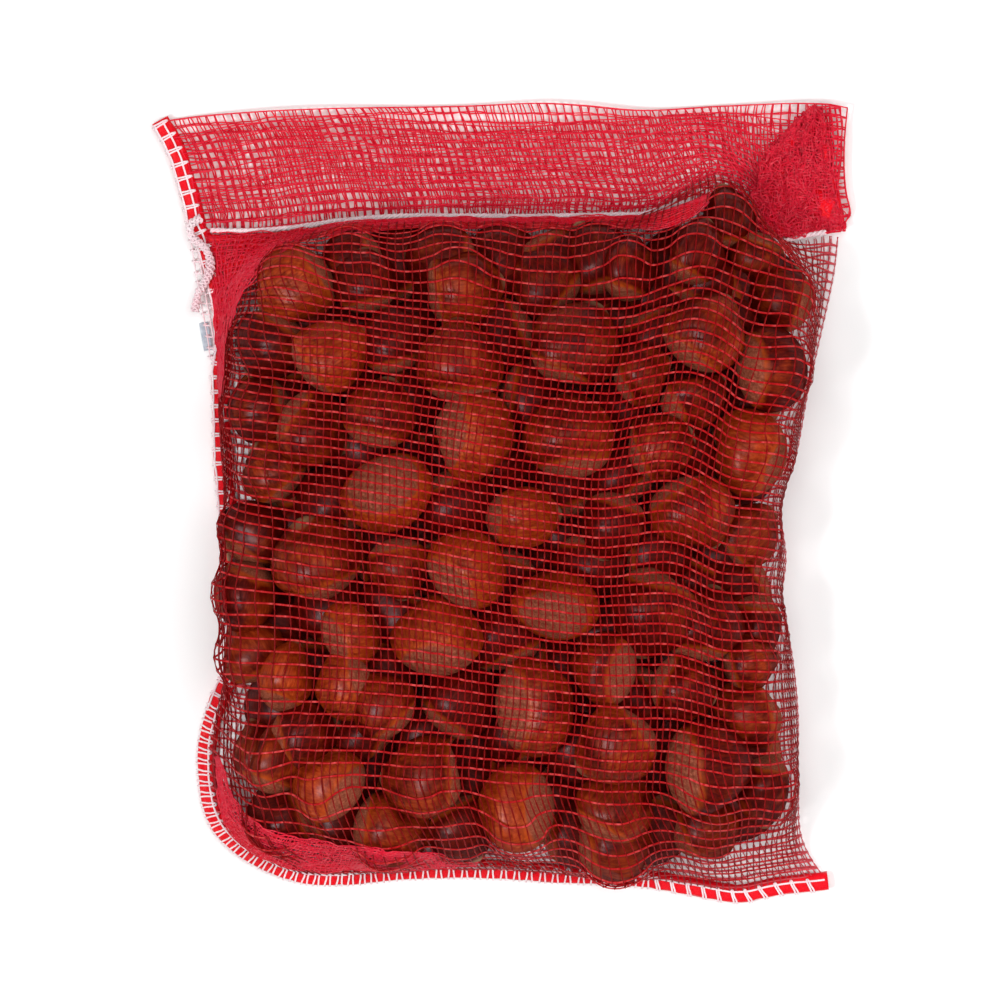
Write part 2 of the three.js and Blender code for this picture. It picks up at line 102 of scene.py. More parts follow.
# Chestnuts of the upper layer, row by row from the hem; two at the left edge lie 4 mm further in
# than in the source, so that the net closes over them:
# x, y, width, direction of the tip in degrees, how it lies, depth below the heap's surface
UPPER_CHESTNUTS = [
    (-49, 80, 23, 200, "dome", 7), (-19, 79.5, 26, 170, "dome", 5), (-1, 79.5, 26, 30, "dome", 7),
    (15, 79.5, 26, 300, "dome", 6), (32, 80, 26, 120, "dome", 6), (41, 76, 24, 80, "edge", 1),
    (63, 81, 24, 70, "edge", 0), (74, 92, 24, 92, "edge", 3), (84, 81, 20, 250, "dome", 4),
    (-66.5, 72, 27.5, 215, "dome", 0), (-44, 72, 23, 100, "dome", 6), (-14, 71, 29, 10, "dome", 2),
    (15, 72, 26, 140, "dome", 8), (93, 67, 23, 160, "dome", 2),
    (-76, 53, 25, 240, "dome", 6), (-56.6, 48, 27, 35, "dome", 0), (-35, 52, 24, 100, "dome", 6),
    (-13.7, 44.5, 31, 95, "dome", 0), (23.3, 50, 31, 60, "dome", 0), (45, 42, 22, 20, "dome", 7),
    (66, 55.5, 28, 54, "dome", 0), (88, 44.5, 29, 5, "rim", 0), (62, 34, 25, 35, "edge", 6),
    (-79, 30, 25, 190, "dome", 5), (-63, 25, 27, 330, "dome", 4), (-40, 28, 25, 75, "dome", 2),
    (-9.7, 21.5, 32, 350, "rim", 0), (22.6, 20.8, 31, 100, "dome", 0),
    (51, 18.5, 24, 20, "dome", 2), (82, 16.8, 30, 160, "dome", 0),
    (-75, 10, 23, 130, "dome", 3), (-37.6, 4.3, 33, 300, "face", 0), (6, -4, 27, 5, "edge", 4),
    (36.5, -6.3, 23, 250, "dome", 4), (62.2, -2.3, 30, 307, "dome", 0),
    (80, -11, 24, 40, "dome", 4),
    (-82, -10.5, 24, 60, "dome", 5), (-60.5, -19.8, 30.5, 110, "dome", 0),
    (-34, -20.5, 22, 280, "dome", 7), (-12, -22, 28, 45, "rim", 0),
    (-83.5, -29.4, 27, 260, "edge", 0),
    (17.7, -34.3, 31, 75, "face", 0), (49.7, -33.7, 32, 250, "dome", 0),
    (67, -42, 28, 80, "dome", 3), (84, -40, 26, 275, "edge", 4),
    (-50, -43.5, 23, 20, "rim", 4), (-21, -44.5, 31, 92, "rim", 0), (-82, -50, 24, 120, "dome", 4),
    (-70.8, -58.4, 25, 75, "edge", 0), (-50.6, -60, 24, 200, "rim", 3), (81, -53, 20, 15, "dome", 1),
    (34, -55, 26, 170, "rim", 5), (59, -60, 23, 340, "dome", 4), (-38.4, -66.6, 24, 130, "dome", 1),
    (11, -66.6, 33, 5, "rim", 0), (82, -69, 25, 195, "dome", 4),
    (38.4, -78.2, 29.5, 215, "dome", 0), (-66, -76, 25, 20, "dome", 4),
    (-75, -85.5, 25, 80, "edge", 0),
    (-80, -84, 24, 100, "edge", 8), (-56, -92.4, 26.5, 150, "rim", 0),
    (-24.3, -89.8, 29, 180, "dome", 0),
    (67, -88, 34, 5, "rim", 0), (87, -93, 26, 270, "edge", 2), (6, -101, 31, 180, "rim", 0),
    (36.5, -100, 29, 60, "dome", 4), (-73, -104, 24, 200, "dome", 3),
    (-37.5, -107, 27, 350, "dome", 2),
    (66, -107, 25, 30, "dome", 4), (36.5, -112, 29, 10, "dome", 3), (-14, -106, 24, 300, "dome", 6),
]
LEAN = {"dome": 8, "rim": 38, "face": 78, "edge": 8}
ROLL = {"dome": 0, "rim": 0, "face": 0, "edge": 75}

# Chestnuts that the ones above hide, seen only as darkness between them or from low down
INNER_WIDTH = (25, 29)
INNER_STEP = 5.0  # between the places tried
INNER_DROP = 10  # of their tops below the heap's surface, at least
INNER_FIT = 0.78  # distance between two centres as a share of their mean width
INNER_INSET = 10  # of their centres from the heap's outline, at least
INNER_LEVELS = (12, 44)  # heights of their centres

# Chestnuts on the floor under spots that all the others leave bare
FILL_INSET = 12.5
FILL_COVER = -1.6  # how far inside its shell a chestnut has to reach a spot to cover it

# ---- The net's sizes -----------------------------------------------------------------------

WARP_COUNT = 86  # upright threads across the front
WEFT_COUNT = 72  # level threads from the bottom to the drawstring
WEFT = (0.90, 0.40)  # width and thickness of the flat level threads
WARP = 0.30  # thickness of one strand of the upright threads
TWIST_HEIGHT, TWIST_WIDTH = 0.3, 0.16  # of the two strands from the upright thread's middle
CLEAR = 0.6  # from a chestnut to the middle of a thread
GOLDEN = 0.618034  # between neighbouring threads' numbers, so that they all look different
HEIGHT_ROUNDS, SETTLE_ROUNDS = 2500, 220  # of drawing the net tight
LAST_ROUNDS = 400  # after its plan has been evened out
PLAN_SHARE = 0.3  # how much of the sheet's sideways give over the chestnuts is kept
GIVE_FROM, GIVE_TO = 9, 24  # mm inside the heap's outline over which it falls to that
LEFT_CROWDING = 1.5  # of the level threads' left ends, towards the drawstring
LEVEL_OUT = 1.9  # how soon they run level
FRONT_TOP = [  # where the front sheet meets the hem, round the chestnuts that push into it
    (-99.5, 89.2), (-83, 89.6), (-66.5, 91), (-56.6, 92.4), (-33.5, 94.2), (-7, 94.2), (19, 94.4),
    (46, 95.5), (58, 103), (71, 109.5), (82, 103), (87.5, 90), (96, 86.9), (111.2, 89.4),
]


# ---- Curves and noise ----------------------------------------------------------------------


def curve_through(points, closed=False, per_span=16):
    """A centripetal Catmull-Rom curve through the points, as many short steps."""
    p = np.array(points, float)
    if p.shape[1] == 2:
        p = np.column_stack([p, np.zeros(len(p))])
    if closed:
        p = np.vstack([p[-1], p, p[0], p[1]])
    else:
        p = np.vstack([2 * p[0] - p[1], p, 2 * p[-1] - p[-2]])
    t = np.linspace(0, 1, per_span, endpoint=False)[:, None]
    out = []
    for a, b, c, d in zip(p, p[1:], p[2:], p[3:]):
        ka, kb, kc = (max(math.sqrt(np.linalg.norm(q - r)), 1e-6) for q, r in ((b, a), (c, b), (d, c)))
        into = (b - a) / ka - (c - a) / (ka + kb) + (c - b) / kb
        away = (c - b) / kb - (d - b) / (kb + kc) + (d - c) / kc
        into, away = into * kb, away * kb
        out.append(
            b + into * t + (3 * (c - b) - 2 * into - away) * t**2 + (2 * (b - c) + into + away) * t**3
        )
    line = np.vstack(out)
    return line if closed else np.vstack([line, p[-2]])


def run_along(line):
    """Distance of each of a line's points from its start."""
    return np.concatenate([[0], np.cumsum(np.linalg.norm(np.diff(line, axis=0), axis=1))])


def length_of(line):
    return float(run_along(line)[-1])


def read_off(line, at, carried=None):
    """The line's points, or what it carries at each of them, at distances from its start."""
    values = line if carried is None else carried
    run = run_along(line)
    return np.column_stack([np.interp(at, run, values[:, k]) for k in range(3)])


def spaced(line, count):
    """That many points at even distances along a line, both ends included."""
    return read_off(line, np.linspace(0, length_of(line), count))


def smooth(points, count, closed=False):
    line = curve_through(points, closed)
    if closed:
        return spaced(np.vstack([line, line[0]]), count + 1)[:-1]
    return spaced(line, count + 1)


def unit(vectors):
    return vectors / np.maximum(np.linalg.norm(vectors, axis=-1, keepdims=True), 1e-9)


def left_of(line):
    """Level unit vectors to the left of the direction of travel."""
    along = np.gradient(line, axis=0)
    return unit(np.column_stack([-along[:, 1], along[:, 0], np.zeros(len(line))]))


def soft_noise(shape, cells, seed, depth=1):
    """Smooth random values from -1 to 1 over a grid, with about that many bumps each way."""
    chance = np.random.default_rng(seed)
    corners = chance.uniform(-1, 1, (cells[0] + 1, cells[1] + 1, depth))
    out = corners
    for axis, size in ((0, shape[0]), (1, shape[1])):
        at = np.linspace(0, out.shape[axis] - 1, size)
        low = np.minimum(at.astype(int), out.shape[axis] - 2)
        share = at - low
        share = share * share * (3 - 2 * share)
        share = share.reshape([-1, 1, 1] if axis == 0 else [1, -1, 1])
        out = np.take(out, low, axis) * (1 - share) + np.take(out, low + 1, axis) * share
    return out


# ---- Meshes --------------------------------------------------------------------------------


def in_scene(name, data):
    thing = bpy.data.objects.new(name, data)
    bpy.context.scene.collection.objects.link(thing)
    return thing


def mesh_piece(name, points, faces, material, values=None):
    """A smooth-shaded mesh from points in millimetres and faces of equal side counts.

    faces is a list of arrays, one for each number of sides; values holds named numbers or
    vectors for each point, which the material reads."""
    mesh = bpy.data.meshes.new(name)
    mesh.vertices.add(len(points))
    mesh.vertices.foreach_set("co", (np.asarray(points, np.float32) * MM).ravel())
    sides = np.concatenate([np.full(len(f), f.shape[1]) for f in faces])
    corners = np.concatenate([f.ravel() for f in faces]).astype(np.int32)
    mesh.loops.add(len(corners))
    mesh.loops.foreach_set("vertex_index", corners)
    mesh.polygons.add(len(sides))
    mesh.polygons.foreach_set("loop_start", (np.cumsum(sides) - sides).astype(np.int32))
    mesh.polygons.foreach_set("use_smooth", np.ones(len(sides), bool))
    for key, value in (values or {}).items():
        value = np.asarray(value, np.float32)
        kind, field = ("FLOAT", "value") if value.ndim == 1 else ("FLOAT_VECTOR", "vector")
        mesh.attributes.new(key, kind, "POINT").data.foreach_set(field, value.ravel())
    mesh.update(calc_edges=True)
    mesh.validate()
    mesh.materials.append(material)
    return in_scene(name, mesh)


class Threads:
    """Collects tubes of one piece: each call adds lines that have equally many points."""

    def __init__(self):
        self.points, self.quads, self.caps, self.strand, self.run = [], [], {}, [], []
        self.count = 0
        self.lines = 0

    def add(self, lines, ups, wide, thick, sides):
        """lines and ups have the shape (lines, points, 3); wide and thick are full sizes."""
        many, long = lines.shape[:2]
        along = unit(np.gradient(lines, axis=1))
        across = unit(np.cross(along, ups))
        up = np.cross(across, along)
        angles = (np.arange(sides) + 0.5) / sides * 2 * math.pi
        ring = (
            across[:, :, None] * (np.cos(angles) * wide / 2)[None, None, :, None]
            + up[:, :, None] * (np.sin(angles) * thick / 2)[None, None, :, None]
        )
        self.points.append((lines[:, :, None] + ring).reshape(-1, 3))
        index = np.arange(many * long * sides).reshape(many, long, sides) + self.count
        turned = np.roll(index, -1, axis=2)
        quads = np.stack([index[:, :-1], index[:, 1:], turned[:, 1:], turned[:, :-1]], -1)
        self.quads.append(quads.reshape(-1, 4))
        ends = np.concatenate([index[:, 0], index[:, -1, ::-1]])
        self.caps.setdefault(sides, []).append(ends)
        ids = (np.arange(many) + self.lines) * GOLDEN % 1
        self.strand.append(np.repeat(ids, long * sides))
        steps = np.linalg.norm(np.diff(lines, axis=1, prepend=lines[:, :1]), axis=2)
        self.run.append(np.repeat(np.cumsum(steps, axis=1).ravel(), sides))
        self.count += many * long * sides
        self.lines += many

    def add_free(self, lines, wide, thick, sides):
        """Threads that lie on no sheet; their up is a little off upright, so no line has it."""
        self.add(lines, np.tile([0.01, 0.02, 1.0], (*lines.shape[:2], 1)), wide, thick, sides)

    def piece(self, name, material):
        faces = [np.concatenate(self.quads)]
        faces += [np.concatenate(f) for _, f in sorted(self.caps.items())]
        values = {"strand": np.concatenate(self.strand), "run": np.concatenate(self.run)}
        return mesh_piece(name, np.concatenate(self.points), faces, material, values)


# ---- Chestnuts -----------------------------------------------------------------------------

heap_line = smooth(HEAP, 120, True)


def inside_by(x, y):
    """How far inside the heap's outline each point is; below nought outside it."""
    x, y = np.asarray(x, float), np.asarray(y, float)
    a, b = heap_line[:, :2], np.roll(heap_line[:, :2], -1, axis=0)
    px, py = x[..., None], y[..., None]
    rise = np.where(a[:, 1] == b[:, 1], 1e-9, b[:, 1] - a[:, 1])
    crosses = ((a[:, 1] > py) != (b[:, 1] > py)) & (
        px < (b[:, 0] - a[:, 0]) * (py - a[:, 1]) / rise + a[:, 0]
    )
    distance = np.hypot(px - a[:, 0], py - a[:, 1]).min(-1)
    return np.where(crosses.sum(-1) % 2 == 1, distance, -distance)


def crown(x, y):
    share = np.clip(inside_by(x, y) / HEAP_SHOULDER, 0, 1)
    return HEAP_HEIGHT * (1 - (1 - share) ** 2.6) ** 0.42


def turned_axes(turn, lies):
    """Columns: the chestnut's side, dome and tip directions."""
    angle, lean, roll = (math.radians(v) for v in (turn, LEAN[lies], ROLL[lies]))
    level = np.array([math.cos(angle), math.sin(angle), 0])
    across = np.array([-level[1], level[0], 0])
    tip = level * math.cos(lean) + np.array([0, 0, -1]) * math.sin(lean)
    dome = np.cross(tip, across)
    dome = dome * math.cos(roll) + np.cross(tip, dome) * math.sin(roll)
    return np.column_stack([np.cross(dome, tip), dome, tip])


# Chestnuts by their place in the list above that are paler or darker than the rest
PALE_NUTS = (9, 15, 26, 29, 31, 32, 39, 41, 45, 46, 48, 49, 60, 64)
DARK_NUTS = (
    0, 1, 2, 3, 4, 5, 6, 7, 8, 10, 12, 13, 14, 16, 21, 22, 23, 33, 36, 40, 42, 43, 44, 52, 57, 62,
    63, 66, 70,
)
# The last tone is painted shade: it darkens every chestnut below the upper layer
PALE_TONE, MIDDLE_TONE, DARK_TONE, PAINTED_SHADE_TONE = 0.82, 0.4, 0.12, -0.4
NUT_MESH = (28, 19)  # points round a chestnut, steps from tip to base
NUT_SWELL, NUT_SWELL_MOST = 0.055, 1.03  # uneven growth, and the most of it
FLAT_SIDES, FLAT_REACH = 4, (0.8, 0.96)  # sides that others pressed, their share of its radius


def tone_of(number, chance):
    """How pale and warm a chestnut's shell is: dark at nought, pale at one; those below the upper layer
    get painted shade, darker than nought.
    """
    own = chance.uniform(-0.12, 0.12)
    # Painted shade for the chestnuts under the upper layer
    if number >= len(UPPER_CHESTNUTS):
        return PAINTED_SHADE_TONE + own
    if number in PALE_NUTS:
        return PALE_TONE + own
    return (DARK_TONE if number in DARK_NUTS else MIDDLE_TONE) + own


def layout():
    """Every chestnut as (centre, width, axes), the upper layer first."""
    placed = []
    for x, y, width, turn, lies, depth in UPPER_CHESTNUTS:
        lowest = NUT["side" if lies == "edge" else "dome"] * width + UPPER_CLEARANCE
        height = max(float(crown(x, y)) - NUT["dome"] * width - depth, lowest)
        placed.append((np.array([x, y, height]), width, turned_axes(turn, lies)))
    for i, (x, y, _) in enumerate(smooth(HEAP, LOWER_COUNT, True) * LOWER_SCALE):
        height = NUT["dome"] * LOWER_WIDTH + LOWER_CLEARANCE
        placed.append((np.array([x, y, height]), LOWER_WIDTH, turned_axes(137 * i, "dome")))
    placed += packed_below(placed)
    return placed + filling(placed)


def spots_inside(step, inset):
    """Places on a square grid that lie that far inside the heap's outline."""
    spots = np.arange(-120, 121, step)
    x, y = (v.ravel() for v in np.meshgrid(spots, spots))
    room = inside_by(x, y) > inset
    return x[room], y[room]


def filling(placed):
    """Chestnuts on the floor under every spot that no other one covers."""
    x, y = spots_inside(3.0, FILL_INSET)
    bare = highest(placed, x, y, FILL_COVER, -1) < 0
    added = []
    while bare.any():
        spot = int(np.argmax(bare))
        centre = np.array([x[spot], y[spot], NUT["dome"] * LOWER_WIDTH + LOWER_CLEARANCE])
        added.append((centre, LOWER_WIDTH, turned_axes(137 * spot, "dome")))
        bare &= top_of(*added[-1], x, y, FILL_COVER) < 0
    return added


def packed_below(placed):
    """Chestnuts under the ones that show, each put as high as it fits, the highest first."""
    chance = np.random.default_rng(7)
    x, y = spots_inside(INNER_STEP, INNER_INSET)
    levels = np.arange(*INNER_LEVELS, 1.0)
    width = chance.uniform(*INNER_WIDTH, len(x))
    top = crown(x, y) - NUT["dome"] * width - INNER_DROP
    free = levels[None] <= np.maximum(top, levels[0] + 0.1)[:, None]

    def keep_clear(centre, other):
        gap = (x - centre[0]) ** 2 + (y - centre[1]) ** 2
        reach = (INNER_FIT * (width + other) / 2) ** 2
        return gap[:, None] + (levels[None] - centre[2]) ** 2 >= reach[:, None]

    for centre, other, _ in placed:
        free &= keep_clear(centre, other)
    added = []
    while free.any():
        height = np.where(free, levels[None], -1).max(1)
        best = int(np.argmax(height + chance.uniform(0, 0.5, len(x))))
        centre = np.array([x[best], y[best], height[best]])
        added.append((centre, width[best], turned_axes(chance.uniform(0, 360), "dome")))
        free &= keep_clear(centre, width[best])
        free[best] = False
    return added


def chestnut_form(width, directions):
    """Points of a chestnut for directions on the unit sphere, in (side, dome, tip)."""
    x, y, z = directions.T
    narrowing = 1 - 0.1 * np.maximum(z, 0) ** 2
    dome = np.where(y > 0, NUT["dome"], NUT["flat"])
    tall = np.where(z > 0, NUT["tip"] * z + NUT["point"] * np.maximum(z, 0) ** 12, NUT["base"] * z)
    return width * np.column_stack([NUT["side"] * x * narrowing, dome * y * narrowing, tall])


def ball(around, along):
    """Directions and faces of a sphere whose poles are the tip and the base."""
    polar = np.linspace(0, math.pi, along + 1)[1:-1, None]
    turn = np.arange(around) / around * 2 * math.pi
    across = np.sin(polar)
    rings = [across * np.cos(turn), across * np.sin(turn), np.repeat(np.cos(polar), around, 1)]
    directions = np.vstack([np.stack(rings, -1).reshape(-1, 3), [0, 0, 1], [0, 0, -1]])
    index = np.arange((along - 1) * around).reshape(along - 1, around)
    nxt = np.roll(index, -1, axis=1)
    quads = np.stack([index[:-1], index[1:], nxt[1:], nxt[:-1]], -1).reshape(-1, 4)
    tip = np.full(around, index.size)
    top = np.column_stack([tip, index[0], nxt[0]])
    bottom = np.column_stack([tip + 1, nxt[-1], index[-1]])
    return directions, quads, np.vstack([top, bottom])


def pressed_flat(directions, chance):
    """How far a chestnut's flat sides, where others pressed it, lie inside its round form."""
    shape = np.ones(len(directions))
    for _ in range(FLAT_SIDES):
        normal = unit(chance.normal(size=3))
        reach = np.maximum(directions @ normal, 0) / chance.uniform(*FLAT_REACH)
        shape *= (1 + reach**14) ** (-1 / 14)
    return shape


def chestnuts(placed, material):
    directions, quads, triangles = ball(*NUT_MESH)
    points, all_quads, all_triangles, seeds, tones = [], [], [], [], []
    chance = np.random.default_rng(11)
    for i, (centre, width, axes) in enumerate(placed):
        lumps = chance.uniform(-1, 1, (3, 3))
        waves = np.sin(directions @ lumps.T * 2.4 + chance.uniform(0, 6, 3)).sum(1)
        swell = np.minimum(1 + NUT_SWELL * waves / 1.7, NUT_SWELL_MOST)
        form = chestnut_form(width, directions) * (swell * pressed_flat(directions, chance))[:, None]
        points.append(centre + form @ axes.T)
        all_quads.append(quads + i * len(directions))
        all_triangles.append(triangles + i * len(directions))
        seeds.append(chance.uniform(0, 1))
        tones.append(tone_of(i, chance))
    values = {
        "nut": np.tile(directions, (len(placed), 1)),
        "seed": np.repeat(seeds, len(directions)),
        "tone": np.repeat(tones, len(directions)),
    }
    faces = [np.vstack(all_quads), np.vstack(all_triangles)]
    return mesh_piece("chestnuts", np.vstack(points), faces, material, values)


# ---- Sheets of net -------------------------------------------------------------------------


def kept_off(grid, placed, clear):
    """Moves points of the grid out of the chestnuts, to that distance from their shells."""
    flat = grid.reshape(-1, 3)
    for centre, width, axes in placed:
        offset = flat - centre
        near = np.einsum("ij,ij->i", offset, offset) < (0.6 * width + clear) ** 2
        if not near.any():
            continue
        local = offset[near] @ axes
        half = np.column_stack([
            np.full(len(local), NUT["side"]),
            np.where(local[:, 1] > 0, NUT["dome"], NUT["flat"]),
            np.where(local[:, 2] > 0, NUT["tip"], NUT["base"]),
        ]) * width + clear
        size = np.linalg.norm(local / half, axis=1)
        local /= np.clip(size, 0.05, 1)[:, None]
        flat[near] = centre + local @ axes.T
    return flat.reshape(grid.shape)


def coons(bottom, top, left, right, level_out=1.0):
    """A grid between four edge lines; rows run from left to right, from bottom to top.

    With level_out above one, the rows leave the left edge at a slope and soon run level."""
    v = np.linspace(0, 1, len(left))[:, None, None]
    u = np.linspace(0, 1, len(bottom))[None, :, None]
    share = np.concatenate([u, 1 - (1 - u) ** level_out, u], axis=2)
    across = left[:, None] * (1 - share) + right[:, None] * share
    upwards = bottom[None] * (1 - v) + top[None] * v
    starts, ends = (bottom[end] * (1 - v) + top[end] * v for end in (0, -1))
    return across + upwards - (starts * (1 - share) + ends * share)


def grid_between(edges, rows, columns):
    """A grid between four edge lines, each divided evenly."""
    counts = (columns, columns, rows, rows)
    return coons(*(spaced(edge, count + 1) for edge, count in zip(edges, counts)))


def top_of(centre, width, axes, x, y, clear):
    """Height of a chestnut's upper side over each place, or far below nought beside it."""
    half = np.array([NUT["side"], NUT["dome"], NUT["tip"]]) * width + clear
    m = axes @ np.diag(1 / half**2) @ axes.T
    dx, dy = x - centre[0], y - centre[1]
    b = m[0, 2] * dx + m[1, 2] * dy
    c = m[0, 0] * dx**2 + 2 * m[0, 1] * dx * dy + m[1, 1] * dy**2 - 1
    root = b * b - m[2, 2] * c
    return np.where(root > 0, centre[2] + (np.sqrt(np.maximum(root, 0)) - b) / m[2, 2], -1e3)


def highest(placed, x, y, clear, floor):
    """Height of the chestnuts' upper sides over each place, or the floor's beside them."""
    height = np.full(np.shape(x), float(floor))
    for nut in placed:
        height = np.maximum(height, top_of(*nut, x, y, clear))
    return height


def raised(line, count):
    """Points along the left edge, crowded towards its upper end."""
    return read_off(line, length_of(line) * (1 - np.linspace(1, 0, count) ** LEFT_CROWDING))


def relaxed(grid):
    return (grid[1:-1, :-2] + grid[1:-1, 2:] + grid[:-2, 1:-1] + grid[2:, 1:-1]) / 4


def drawn_tight(edges, rows, columns, placed, floor):
    """A sheet of net held at its four edges and drawn over the chestnuts like an elastic skin."""
    bottom, top, left, right = edges
    held = coons(
        spaced(bottom, columns + 1), spaced(top, columns + 1),
        raised(left, rows + 1), spaced(right, rows + 1), LEVEL_OUT,
    )
    grid = held.copy()
    inner = grid[1:-1, 1:-1]
    lowest = highest(placed, inner[..., 0], inner[..., 1], CLEAR, floor)
    inner[..., 2] = lowest
    for _ in range(HEIGHT_ROUNDS):
        inner[..., 2] = np.maximum(relaxed(grid)[..., 2], lowest)
    for _ in range(SETTLE_ROUNDS):
        inner[:] = relaxed(grid)
        grid = kept_off(grid, placed, CLEAR)
        inner = grid[1:-1, 1:-1]
        inner[..., 2] = np.maximum(inner[..., 2], floor)
        grid[0], grid[-1], grid[:, 0], grid[:, -1] = held[0], held[-1], held[:, 0], held[:, -1]
    depth = inside_by(inner[..., 0], inner[..., 1])
    give = np.clip((GIVE_TO - depth) / (GIVE_TO - GIVE_FROM), PLAN_SHARE, 1)[..., None]
    inner[..., :2] = give * inner[..., :2] + (1 - give) * held[1:-1, 1:-1, :2]
    lowest = highest(placed, inner[..., 0], inner[..., 1], CLEAR, floor)
    for _ in range(LAST_ROUNDS):
        inner[..., 2] = np.maximum(relaxed(grid)[..., 2], lowest)
    return grid


def normals_of(grid):
    return unit(np.cross(np.gradient(grid, axis=1), np.gradient(grid, axis=0)))


def halved(grid):
    """The grid's rows with a point added half way between neighbours, on a smooth curve."""
    before = np.concatenate([2 * grid[:, :1] - grid[:, 1:2], grid[:, :-2]], 1)
    after = np.concatenate([grid[:, 2:], 2 * grid[:, -1:] - grid[:, -2:-1]], 1)
    half = (grid[:, :-1] + grid[:, 1:]) * 0.5625 - (before + after) * 0.0625
    out = np.empty((grid.shape[0], 2 * grid.shape[1] - 1, 3))
    out[:, ::2], out[:, 1::2] = grid, half
    return out


def weft_threads(threads, grid, wider=1.0, fine=True):
    """Flat level threads along the rows."""
    lines, ups = grid, normals_of(grid)
    if fine:
        lines, ups = halved(lines), halved(ups)
    threads.add(lines, ups, WEFT[0] * wider, WEFT[1], 4)


def warp_threads(threads, grid, strands=2, wider=1.0, fine=True):
    """Upright threads along the columns: single, or two thin strands that twist round the rows."""
    lines, ups = grid.transpose(1, 0, 2), normals_of(grid).transpose(1, 0, 2)
    if fine:
        lines, ups = halved(lines), halved(ups)
    if strands == 1:
        threads.add(lines, ups, 1.5 * WARP * wider, 1.3 * WARP, 3)
        return
    across = np.cross(unit(np.gradient(lines, axis=1)), ups)
    turn = (np.arange(lines.shape[1]) * math.pi / 2)[None, :, None]
    twist = ups * np.cos(turn) * TWIST_HEIGHT + across * np.sin(turn) * TWIST_WIDTH
    threads.add(lines + twist, ups, WARP, WARP, 3)
    threads.add(lines - twist, ups, WARP, WARP, 3)


def woven(threads, grid, level, upright):
    """Level and single upright threads along a grid, their widths by those two factors."""
    weft_threads(threads, grid, level)
    warp_threads(threads, grid, 1, upright)


def jostled(grid, amount, cells, seed):
    """The grid with its inner crossings shifted a little, as in a net that has been handled."""
    size = grid.shape[:2]
    shift = soft_noise(size, cells, seed, 3) * amount
    shift += soft_noise(size, (size[0] - 1, size[1] - 1), seed + 1, 3) * amount * 0.25
    shift[..., 2] *= 0.3
    shift[0], shift[-1], shift[:, 0], shift[:, -1] = 0, 0, 0, 0
    return grid + shift


def at_height(points, height):
    level = np.array(points, float)[:, :2]
    return np.column_stack([level, np.full(len(level), float(height))])


# ---- Materials -----------------------------------------------------------------------------


class Nodes:
    """Short ways to build a material's node tree."""

    def __init__(self, name):
        self.material = bpy.data.materials.new(name)
        self.material.use_nodes = True
        self.tree = self.material.node_tree
        self.shader = self.tree.nodes["Principled BSDF"]

    def new(self, kind, **settings):
        node = self.tree.nodes.new(kind)
        for key, value in settings.items():
            setattr(node, key, value)
        return node

    def link(self, source, target):
        self.tree.links.new(source, target)

    def feed(self, socket, value):
        """Links another socket, or sets a number or a colour."""
        if isinstance(value, tuple):
            socket.default_value = (*value, 1)
        elif isinstance(value, (int, float)):
            socket.default_value = value
        else:
            self.link(value, socket)

    def set(self, **values):
        """Feeds the main shader's sockets, whose names have _ for each space."""
        for key, value in values.items():
            self.feed(self.shader.inputs[key.replace("_", " ")], value)

    def attribute(self, name, vector=False):
        node = self.new("ShaderNodeAttribute", attribute_name=name)
        return node.outputs["Vector" if vector else "Fac"]

    def math(self, operation, a, b=0.0):
        node = self.new("ShaderNodeMath", operation=operation)
        self.feed(node.inputs[0], a)
        self.feed(node.inputs[1], b)
        return node.outputs[0]

    def noise(self, vector, scale, detail=2.0, roughness=0.5):
        node = self.new("ShaderNodeTexNoise")
        self.link(vector, node.inputs["Vector"])
        for key, value in (("Scale", scale), ("Detail", detail), ("Roughness", roughness)):
            node.inputs[key].default_value = value
        return node.outputs["Fac"]

    def ramp(self, value, *stops):
        node = self.new("ShaderNodeValToRGB")
        marks = node.color_ramp.elements
        while len(marks) < len(stops):
            marks.new(0.5)
        for mark, (position, colour) in zip(marks, stops):
            mark.position = position
            mark.color = (*colour, 1) if isinstance(colour, tuple) else (colour, colour, colour, 1)
        self.link(value, node.inputs["Fac"])
        return node.outputs["Color"]

    def mix(self, share, a, b, blend="MIX"):
        node = self.new("ShaderNodeMix", data_type="RGBA", blend_type=blend)
        colours = [s for s in node.inputs if s.type == "RGBA"]
        for socket, value in zip((node.inputs[0], *colours), (share, a, b)):
            self.feed(socket, value)
        return next(s for s in node.outputs if s.type == "RGBA")

    def scaled(self, vector, scale, offset):
        """The vector times the scale, plus the offset."""
        node = self.new("ShaderNodeVectorMath", operation="MULTIPLY_ADD")
        self.link(vector, node.inputs[0])
        node.inputs[1].default_value = scale
        self.link(offset, node.inputs[2])
        return node.outputs[0]

    def bump(self, height, strength, distance):
        node = self.new("ShaderNodeBump")
        node.inputs["Strength"].default_value = strength
        node.inputs["Distance"].default_value = distance
        self.link(height, node.inputs["Height"])
        self.link(node.outputs["Normal"], self.shader.inputs["Normal"])
        return node.outputs["Normal"]

    def blended(self, share, other):
        """Mixes that share of another shader into the material."""
        blend = self.new("ShaderNodeMixShader")
        for socket, value in zip(blend.inputs, (share, self.shader.outputs[0], other.outputs[0])):
            self.feed(socket, value)
        self.link(blend.outputs[0], self.tree.nodes["Material Output"].inputs["Surface"])

    def place(self):
        return self.new("ShaderNodeTexCoord").outputs["Object"]

    def vector(self, values, factors):
        """Three or fewer numbers, each times its factor, as a vector."""
        node = self.new("ShaderNodeCombineXYZ")
        for socket, value, factor in zip(node.inputs, values, factors):
            self.link(self.math("MULTIPLY", value, factor), socket)
        return node.outputs[0]

    def parts(self, vector):
        node = self.new("ShaderNodeSeparateXYZ")
        self.link(vector, node.inputs[0])
        return node.outputs


